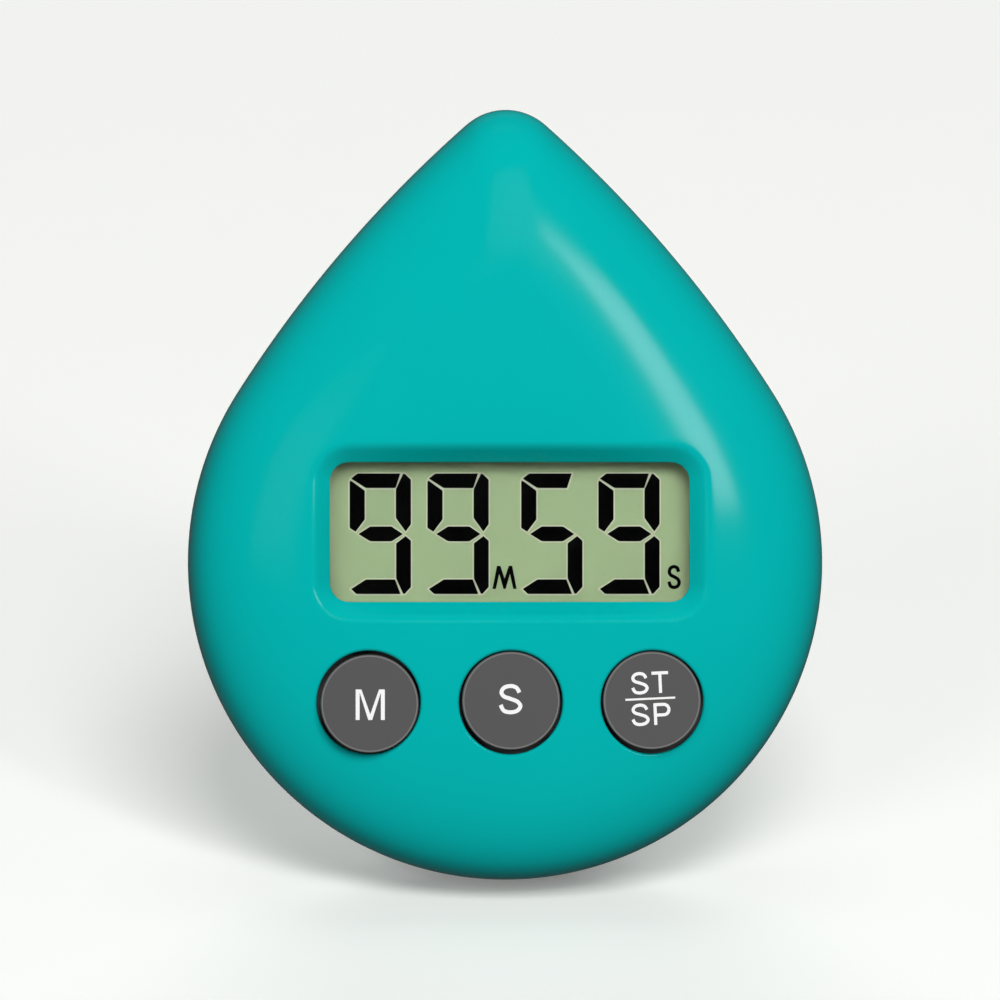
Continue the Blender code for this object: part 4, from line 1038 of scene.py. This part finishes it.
# %% [markdown]
# ## Back cover
# The rear half is a tray with a round edge and a plain back. It could be extruded from the drop outline and
# beveled, but a bevel pinches at the tip, so rings carry the round edge. What stands inside it is left out
# of the hollow.

# %% Rings and posts of the back
BACK_DEPTH = 8.5 * MM
BACK_SIDE = 3.5 * MM
BACK_ROUND = BACK_DEPTH - BACK_SIDE
BACK_INNER_Z = WALL - BACK_DEPTH
BACK_EASE = 0.2 * MM
ROUND_RINGS = 12
MAGNETS = {"magnet_left": (-20 * MM, 25 * MM), "magnet_right": (20 * MM, 25 * MM)}
CASE_SCREWS = {
    "case_screw_lower_left": (-15.04 * MM, 9.97 * MM),
    "case_screw_lower_right": (15.04 * MM, 9.97 * MM),
    "case_screw_upper_left": (-14 * MM, 62 * MM),
    "case_screw_upper_right": (14 * MM, 62 * MM),
}
SOUND_PLACE = (0, 66 * MM)
TRAYS = {
    "stand_tray": ((-14.3, -5), (14.3, 38, -4.2)),
    "heel_tray": ((-14.75, 30.3), (14.75, 38.45, -3.36)),
}
CUP_RADIUS = 7.1 * MM
CUP_Z = -4.6 * MM
TUBE_RADIUS = 3.2 * MM
RIB_RADIUS = 10 * MM
RIB_BORE = 8.2 * MM
RIB_HEIGHT = 0.8 * MM


def back_rings(inset, count):
    """Rings from the flat back, over its round edge, to the straight side. An inset gives the inner face."""
    rings = []
    for step in range(ROUND_RINGS + 1):
        turn = math.pi / 2 * step / ROUND_RINGS
        radius = BACK_ROUND - inset - BACK_EASE * math.sin(2 * turn)
        outline = drop_outline(BACK_ROUND - radius * math.sin(turn), count)
        rings.append(at_height(outline, -BACK_SIDE - radius * math.cos(turn)))
    return rings


def cover_posts():
    """What stands inside the cover: two trays, magnet cups, screw tubes and the rib round the buzzer."""
    low = -BACK_DEPTH - WALL
    posts = [box(name, (*mm(*start), low), mm(*end)) for name, (start, end) in TRAYS.items()]
    posts += [disc("cup", place, CUP_RADIUS, low, CUP_Z) for place in MAGNETS.values()]
    posts += [disc("tube", place, TUBE_RADIUS, low, -RIM) for place in CASE_SCREWS.values()]
    rib = disc("rib", SOUND_PLACE, RIB_RADIUS, low, BACK_INNER_Z + RIB_HEIGHT)
    combine(rib, "DIFFERENCE", [disc("rib_hole", SOUND_PLACE, RIB_BORE, 2 * low, 0)])
    return [*posts, rib]


# %% Shell of the back
COVER_AROUND = 240
TONGUE_INSET = 2.1 * MM
TONGUE_INNER = 3.0 * MM
TONGUE_Z = 1.3 * MM
TONGUE_ROOT_Z = -2 * WALL
SHELF_Z = -1.5 * WALL
ABOVE_TONGUE = 5 * MM
BAY_BLOCK = ((-26.55, 37.6, -7.6), (26.55, 52.4, 5))

cover_rings = back_rings(0, COVER_AROUND)
for inset, below in reversed(RIM_STEPS):
    cover_rings.append(at_height(drop_outline(inset, COVER_AROUND), -RIM - below))
cover = sleeve("rear_moulding", cover_rings)
combine(cover, "UNION", [prism("tongue", drop_outline(TONGUE_INSET), TONGUE_ROOT_Z, TONGUE_Z)])
hollow_rings = back_rings(WALL, INNER_AROUND)
for inset, z in ((WALL, SHELF_Z), (TONGUE_INNER, -WALL), (TONGUE_INNER, ABOVE_TONGUE)):
    hollow_rings.append(at_height(drop_outline(inset, INNER_AROUND), z))
hollow = sleeve("rear_hollow", hollow_rings)
combine(hollow, "DIFFERENCE", cover_posts())
combine(cover, "DIFFERENCE", [hollow])
combine(cover, "UNION", [mm_box("bay_block", *BAY_BLOCK)])
print("cover shell:", len(cover.data.polygons), "faces")

# %% [markdown]
# ## Pockets in the back
# The stand, the battery, the magnets and the screws all sit in pockets cut from behind. A moulded pocket
# never has a knife edge. Beveling every mouth after the cuts would fail where pockets meet, so each cutter
# flares at its mouth.

# %% Cutters with a round mouth
MOUTH = 0.3 * MM
MOUTH_STEPS = 5
MOUTH_START = 10


def pocket(name, outline_at, floor):
    """A cutter from behind the cover to a floor, flared where it meets the back."""
    rings = [at_height(outline_at(MOUTH), -2 * BACK_DEPTH)]
    for step in range(MOUTH_STEPS + 1):
        turn = math.radians(MOUTH_START + (90 - MOUTH_START) * step / MOUTH_STEPS)
        outline = outline_at(MOUTH * (1 - math.sin(turn)))
        rings.append(at_height(outline, MOUTH * (1 - math.cos(turn)) - BACK_DEPTH))
    rings.append(at_height(outline_at(0), floor))
    return sleeve(name, rings)


def rod(name, y, z, radius, half_length, sides=48):
    """A cylinder along x."""
    ring = circle(y, z, radius, sides)
    return sleeve(name, [[(x, py, pz) for py, pz in ring] for x in (-half_length, half_length)])


def round_mouth(place, radius, sides=96):
    """The outline of a round pocket as a function of its border."""
    return lambda border: circle(*place, radius + border, sides)


# %% Pockets cut from behind
DOOR_HALF = 25.85 * MM
DOOR_LOW_Y = 38.3 * MM
DOOR_HIGH_Y = 51.7 * MM
DOOR_CORNER = 3.0 * MM
DOOR_STEPS = 9
DOOR_INNER_Z = -7.1 * MM
FIT_GAP = 0.3 * MM
HINGE_Y = 33.47 * MM
HINGE_Z = -7.0 * MM
STAND_BED = (11.3, -12, 36.6, 0.6)
STAND_BED_Z = -6 * MM
PIN_SOCKET = (0.9 * MM, 13.1 * MM)
MAGNET_POCKET = (6.2 * MM, -5.5 * MM)
SCREW_SINK = (2.4 * MM, -5.1 * MM)
SINK_SIDES = 48
SCREW_HOLE = (1.5 * MM, -6 * MM, 5 * MM)
SOUND_HOLE = (0.8 * MM, -6 * MM)
SOUND_RING = 4 * MM
SOUND_HOLES = 6
HOLE_SIDES = 32
NAIL_NOTCH = ((5.3, -9), (5, -8.3), (4.6, -7.8), (3.9, -7.5), (2.5, -7.4))
NAIL_NOTCH_Y = 52 * MM
HEEL_POCKET = ((-11.3, 32.67, -8), (11.3, 36.6, -5.16))
BAY = ((-24.65, 39.5, -8), (24.65, 50.5, 4))
CONTACT_SLOTS = {
    "left_slot": ((-20.8, 36.6, -7.4), (-15.2, 39.8, -4.67)),
    "right_slot": ((15.2, 36.6, -7.4), (20.8, 39.8, -4.67)),
    "left_tail_slot": ((-24.85, 37.3, 0.2), (-23.85, 39.8, 3.9)),
    "right_tail_slot": ((23.85, 37.3, 0.2), (24.85, 39.8, 3.9)),
}


def door_outline(border):
    """The battery door's outline moved outwards: square at its hinge edge, and round at its free corners."""
    side = DOOR_HALF + border
    top = DOOR_HIGH_Y + border
    radius = DOOR_CORNER + border
    right = arc(side - radius, top - radius, radius, 0, math.pi / 2, DOOR_STEPS)
    return [(-side, DOOR_LOW_Y - border), (side, DOOR_LOW_Y - border), *mirrored(right)]


def stand_bed(border):
    half_x, low_y, high_y, corner = mm(*STAND_BED)
    return rounded_box(half_x + border, low_y, high_y + border, corner)


def door_rebate(border):
    return door_outline(FIT_GAP + border)


small_cuts = []
for place in MAGNETS.values():
    radius, floor = MAGNET_POCKET
    small_cuts.append(pocket("magnet_pocket", round_mouth(place, radius), floor))
for place in CASE_SCREWS.values():
    radius, floor = SCREW_SINK
    small_cuts.append(pocket("screw_sink", round_mouth(place, radius, SINK_SIDES), floor))
for place in [SOUND_PLACE, *circle(*SOUND_PLACE, SOUND_RING, SOUND_HOLES)]:
    radius, floor = SOUND_HOLE
    small_cuts.append(pocket("sound_hole", round_mouth(place, radius, HOLE_SIDES), floor))
combine(cover, "DIFFERENCE", [join("small_cuts", small_cuts)])
holes = [disc("screw_hole", place, *SCREW_HOLE, HOLE_SIDES) for place in CASE_SCREWS.values()]
combine(cover, "DIFFERENCE", [join("screw_holes", holes)])
large_cuts = [
    pocket("stand_bed", stand_bed, STAND_BED_Z),
    mm_box("heel_pocket", *HEEL_POCKET),
    rod("pin_socket", HINGE_Y, HINGE_Z, *PIN_SOCKET),
    pocket("door_rebate", door_rebate, DOOR_INNER_Z + FIT_GAP),
    mm_box("bay", *BAY),
    turned("nail_notch", (0, NAIL_NOTCH_Y), [mm(*point) for point in NAIL_NOTCH]),
]
large_cuts += [mm_box(name, *corners) for name, corners in CONTACT_SLOTS.items()]
combine(cover, "DIFFERENCE", large_cuts)
finish_piece(cover, "case", TEAL_BACK, "back_cover")

# %% [markdown]
# ## Stand
# The stand is a plate with round edges all about, a shallow panel and a grip. A beveled box would round its
# edges and corners alike. Here the rings run along the hinge axis, and each is shorter where the plan's
# corners round off. The stand is drawn folded and then opened about its hinge.

# %% Sections of the plate
STAND_HALF = 11.0 * MM
STAND_FOOT = -31.25 * MM
STAND_HEEL = 2.4 * MM
STAND_MIDDLE = -0.4 * MM
STAND_ROUND = 1.1 * MM
STAND_CORNER = 2.0 * MM
STAND_EDGE = 0.4 * MM
EDGE_STEPS = 5
CORNER_STEPS = 8
ROUND_STEPS = 15


def stand_ring(x, inset):
    """Section of the stand across its hinge axis at one place along it, moved inwards by an inset."""
    beyond = max(abs(x) - STAND_HALF + STAND_CORNER, 0)
    cut = STAND_CORNER - math.sqrt(STAND_CORNER**2 - beyond**2)
    radius = STAND_ROUND - inset
    foot = arc(STAND_FOOT + STAND_ROUND + cut, STAND_MIDDLE, radius, math.pi / 2, math.pi * 1.5, ROUND_STEPS)
    heel = arc(STAND_HEEL - STAND_ROUND, STAND_MIDDLE, radius, -math.pi / 2, math.pi / 2, ROUND_STEPS)
    return [(x, y, z) for y, z in foot + heel]


def stand_rings():
    sections = []
    for step in range(EDGE_STEPS + 1):
        turn = math.pi / 2 * step / EDGE_STEPS
        sections.append((STAND_HALF - STAND_EDGE * (1 - math.cos(turn)), STAND_EDGE * (1 - math.sin(turn))))
    for step in range(1, CORNER_STEPS + 1):
        sections.append((STAND_HALF - STAND_EDGE - (STAND_CORNER - STAND_EDGE) * step / CORNER_STEPS, 0))
    return [stand_ring(x, i) for x, i in sections] + [stand_ring(-x, i) for x, i in reversed(sections)]


# %% Panel, grip and pins
STAND_BACK_Z = -1.5 * MM
DISH_FLARE = 0.3 * MM
DISH_EASE = 0.05 * MM
DISH_OVER = 0.02 * MM
DISH_ABOVE = 1 * MM
PANEL = (8, -22.5, -3, 1.5)
PANEL_DEPTH = 0.5 * MM
GRIP_HALF = 6 * MM
GRIP_Y = -29 * MM
GRIP_PITCH = 1.5 * MM
GRIP_WIDTH = 0.5 * MM
GRIP_CORNER = 0.2 * MM
GRIP_DEPTH = 0.35 * MM
GRIP_GROOVES = 4
STAND_PINS = (0.8 * MM, 12.8 * MM)
STAND_OPEN = math.radians(26.236)


def dished(name, half_x, low_y, high_y, corner, depth):
    """A cutter for a shallow panel in the stand's back, flared at its mouth."""
    steps = [(0, depth), (DISH_EASE, depth / 2), (DISH_FLARE, -DISH_OVER), (DISH_FLARE, -DISH_ABOVE)]
    rings = []
    for border, z in steps:
        outline = rounded_box(half_x + border, low_y - border, high_y + border, corner + border)
        rings.append(at_height(outline, STAND_BACK_Z + z))
    return sleeve(name, rings)


stand = sleeve("stand_plate", stand_rings())
panels = [dished("panel", *mm(*PANEL), PANEL_DEPTH)]
for step in range(GRIP_GROOVES):
    y = GRIP_Y + step * GRIP_PITCH
    panels.append(dished("groove", GRIP_HALF, y, y + GRIP_WIDTH, GRIP_CORNER, GRIP_DEPTH))
combine(stand, "DIFFERENCE", [join("stand_panels", panels)])
combine(stand, "UNION", [rod("pins", 0, 0, *STAND_PINS)])
stand.data.transform(Matrix.Translation((0, HINGE_Y, HINGE_Z)) @ Matrix.Rotation(STAND_OPEN, 4, "X"))
finish_piece(stand, "stand", TEAL_BACK, "stand")

# %% [markdown]
# ## Battery door
# The door is a flat lid with soft edges. Two lugs under the cover hold its lower edge, a latch holds the
# upper one, and a few shallow grooves by the nail notch give the finger a grip. A flat lid is what a bevel
# does best, so it is a prism with a bevel, and the rest is added and cut with small solids.

# %% Lid, lugs and latch
LID_EDGE = 0.3 * MM
LID_STEPS = 4
FINGER_Y = 45.4 * MM
FINGER_PITCH = 1.4 * MM
FINGER_HALF = 7.0 * MM
FINGER_TAPER = 1.1 * MM
FINGER_WIDTH = 0.55 * MM
FINGER_CORNER = 0.25 * MM
FINGER_DEPTH = 0.35 * MM
FINGER_GROOVES = 4
LUGS = {"left": -18 * MM, "right": 18 * MM}
LUG_HALF = 2.5 * MM
STEM_PLACE = ((39, -7.8), (40.7, -5.9))
LUG_PLACE = ((36.9, -7.1), (40.7, -5.9))
LATCH = ((-4, 49.3, -7.8), (4, 50.1, -5.6))


def across_lug(name, x, place):
    """A box as wide as a lug, between two (y, z) corners in millimetres."""
    low, high = place
    return box(name, (x - LUG_HALF, *mm(*low)), (x + LUG_HALF, *mm(*high)))


door = prism("door_lid", door_outline(0), -BACK_DEPTH, DOOR_INNER_Z)
soften(door, LID_EDGE, segments=LID_STEPS)
fingers = []
for step in range(FINGER_GROOVES):
    y = FINGER_Y + step * FINGER_PITCH
    half = FINGER_HALF - FINGER_TAPER * step
    groove = rounded_box(half, y, y + FINGER_WIDTH, FINGER_CORNER)
    fingers.append(prism("finger", groove, -BACK_DEPTH - MM, -BACK_DEPTH + FINGER_DEPTH))
combine(door, "DIFFERENCE", [join("fingers", fingers)])
for side, x in LUGS.items():
    stem = across_lug(f"{side}_stem", x, STEM_PLACE)
    combine(door, "UNION", [stem, across_lug(f"{side}_lug", x, LUG_PLACE)])
combine(door, "UNION", [mm_box("latch", *LATCH)])
finish_piece(door, "battery_door", TEAL_BACK, "battery_door")

# %% [markdown]
# ## Screws and magnets
# These small pieces close the back. Each is round, so each is a turned profile. A cross recess is cut in
# every screw head, and the magnets have a ground edge.

# %% Turned hardware
SCREW = (
    (1.35, -7.0),
    (1.75, -6.9),
    (1.95, -6.65),
    (2.0, -6.4),
    (2.0, -5.4),
    (1.2, -5.4),
    (1.2, 3.7),
    (0.3, 6.1),
)
MAGNET = ((5.7, -8.6), (6.0, -8.3), (6.0, -5.9), (5.7, -5.6))
SCREW_SIDES = 64
CROSS_LONG = 1.15 * MM
CROSS_HALF = 0.24 * MM
CROSS_Z = (-8 * MM, -6.1 * MM)

for name, (x, y) in CASE_SCREWS.items():
    screw = turned(f"{name}_turned", (x, y), [mm(*point) for point in SCREW], SCREW_SIDES)
    low, high = CROSS_Z
    for half_x, half_y in ((CROSS_LONG, CROSS_HALF), (CROSS_HALF, CROSS_LONG)):
        cross = box("cross", (x - half_x, y - half_y, low), (x + half_x, y + half_y, high))
        combine(screw, "DIFFERENCE", [cross])
    finish_piece(screw, "case", STEEL, name)
for name, place in MAGNETS.items():
    magnet = turned(f"{name}_ground", place, [mm(*point) for point in MAGNET])
    finish_piece(magnet, "case", FERRITE, name)

# %% [markdown]
# ## Cell
# The cell shows when the door is open. It is a can with a printed jacket, a bright band and a raised end,
# and each of these is a profile turned about the cell's own axis, which lies across the case.

# %% The cell
CELL_Y = 45.0 * MM
CELL_Z = -1.55 * MM
CELL_CAN = ((-20.65, 4.7), (-20.4, 5.1), (-20.0, 5.2), (22.5, 5.2), (22.9, 5.1), (23.05, 4.7))
CELL_BAND = ((13.0, 5.1), (13.05, 5.24), (22.3, 5.24), (22.35, 5.1))
CELL_END = ((22.9, 3.2), (23.05, 3.1), (23.05, 1.9), (23.7, 1.85), (23.85, 1.6))
CELL_SIDES = 72


def along_x(name, profile):
    """A profile of (x, radius) points turned about the cell's axis."""
    rings = []
    for x, radius in profile:
        rings.append([(x * MM, y, z) for y, z in circle(CELL_Y, CELL_Z, radius * MM, CELL_SIDES)])
    return sleeve(name, rings)


finish_piece(along_x("cell_can", CELL_CAN), "case", JACKET, "battery_cell")
finish_piece(along_x("cell_band", CELL_BAND), "case", BRASS)
finish_piece(along_x("cell_end", CELL_END), "case", STEEL)

# %% [markdown]
# ## Stage
# The timer stands on a pale counter in soft daylight. A tall window to the right draws one long streak down
# the right flank. It is the only lamp that gloss shows, and the others fill the front, the left, the top
# and the back.

# %% Camera
VIEW_TURN = math.radians(-2.9)
VIEW_CENTRE = Vector((-0.8 * MM, 41.9 * MM, 5 * MM))
VIEW_DISTANCE = 1.0
VIEW_WIDTH = 110.0 * MM
SENSOR = 36
FAR_CLIP = 20


def facing(direction, up):
    """A rotation whose -z axis looks against a direction, with its y axis near up."""
    back = direction.normalized()
    right = up.cross(back).normalized()
    return Matrix((right, back.cross(right), back)).transposed()


def add_camera():
    turn = FACE.to_3x3()
    towards = turn @ Vector((math.sin(VIEW_TURN), 0, math.cos(VIEW_TURN)))
    deselect()
    bpy.ops.object.camera_add()
    camera = bpy.context.object
    camera.data.sensor_width = SENSOR
    camera.data.lens = SENSOR * VIEW_DISTANCE / VIEW_WIDTH
    camera.data.clip_end = FAR_CLIP
    place = FACE @ VIEW_CENTRE + towards * VIEW_DISTANCE
    camera.matrix_world = Matrix.Translation(place) @ facing(towards, turn @ Vector((0, 1, 0))).to_4x4()
    bpy.context.scene.camera = camera


# %% Lamps
LAMP_TARGET = Vector((0, 0, 0.04))


def add_lamp(name, azimuth, elevation, distance, size, power, in_gloss=False):
    """A flat lamp that faces the timer from an azimuth and an elevation. A fill lamp isn't seen in gloss."""
    turn, rise = math.radians(azimuth), math.radians(elevation)
    towards = Vector((math.sin(turn) * math.cos(rise), -math.cos(turn) * math.cos(rise), math.sin(rise)))
    deselect()
    bpy.ops.object.light_add(type="AREA", location=LAMP_TARGET + towards * distance)
    lamp = bpy.context.object
    lamp.name = name
    lamp.data.shape = "RECTANGLE"
    lamp.data.size, lamp.data.size_y = size
    lamp.data.energy = power
    lamp.rotation_euler = facing(towards, Vector((0, 0, 1))).to_euler()
    lamp.visible_glossy = in_gloss


# %% Counter and sky
FLOOR_SIZE = 8
WORLD_LIGHT = 0.05
COUNTER_COLOUR = linear(236, 237, 234)
COUNTER_BOUNCE = (0.2, 0.2, 0.2)
COUNTER_LIFT = 0.25


def counter_finish():
    """A pale counter. To the camera it is lifted a little, and to the timer it throws less light back."""
    made = moulded("pale_counter", COUNTER_BOUNCE, 0.6, grain=0.05, drift=0.01, gloss=0.1)
    nodes = made.node_tree.nodes
    shader = nodes["Principled BSDF"]
    effect = next(node for node in nodes if node.type == "GROUP")
    ray = nodes.new("ShaderNodeLightPath")
    shown = nodes.new("ShaderNodeMix")
    shown.data_type = "RGBA"
    fill(shown, {"A": (*COUNTER_BOUNCE, 1), "B": (*COUNTER_COLOUR, 1)})
    lift = maths(nodes, "MULTIPLY", {1: COUNTER_LIFT})
    fill(shader, {"Emission Color": (*COUNTER_COLOUR, 1)})
    wire(
        made.node_tree,
        (ray, "Is Camera Ray", shown, "Factor"),
        (shown, "Result", effect, "Colour"),
        (ray, "Is Camera Ray", lift, 0),
        (lift, 0, shader, "Emission Strength"),
    )
    return made


def add_floor():
    deselect()
    bpy.ops.mesh.primitive_plane_add(size=FLOOR_SIZE)
    floor = bpy.context.object
    floor.name = "counter"
    floor.data.materials.append(counter_finish())
    floor.visible_glossy = False


def light_world():
    world = bpy.data.worlds.new("daylight")
    bpy.context.scene.world = world
    world.use_nodes = True
    fill(world.node_tree.nodes["Background"], {"Color": (1, 1, 1, 1), "Strength": WORLD_LIGHT})


# %% The stage is set
add_camera()
add_floor()
light_world()
add_lamp("tall_window", 29, 30, 1.0, (0.16, 0.34), 1.0, in_gloss=True)
add_lamp("right_fill", 26, 30, 1.0, (0.07, 0.3), 1.1)
add_lamp("key", 7, 46, 4.0, (1.6, 1.6), 103)
add_lamp("left_fill", -30, 24, 2.5, (0.8, 0.8), 13)
add_lamp("overhead", 180, 74, 1.5, (0.8, 0.5), 2)
add_lamp("back_fill", 180, 24, 2.5, (1.6, 1.0), 24)
bpy.context.scene.view_settings.view_transform = "Standard"
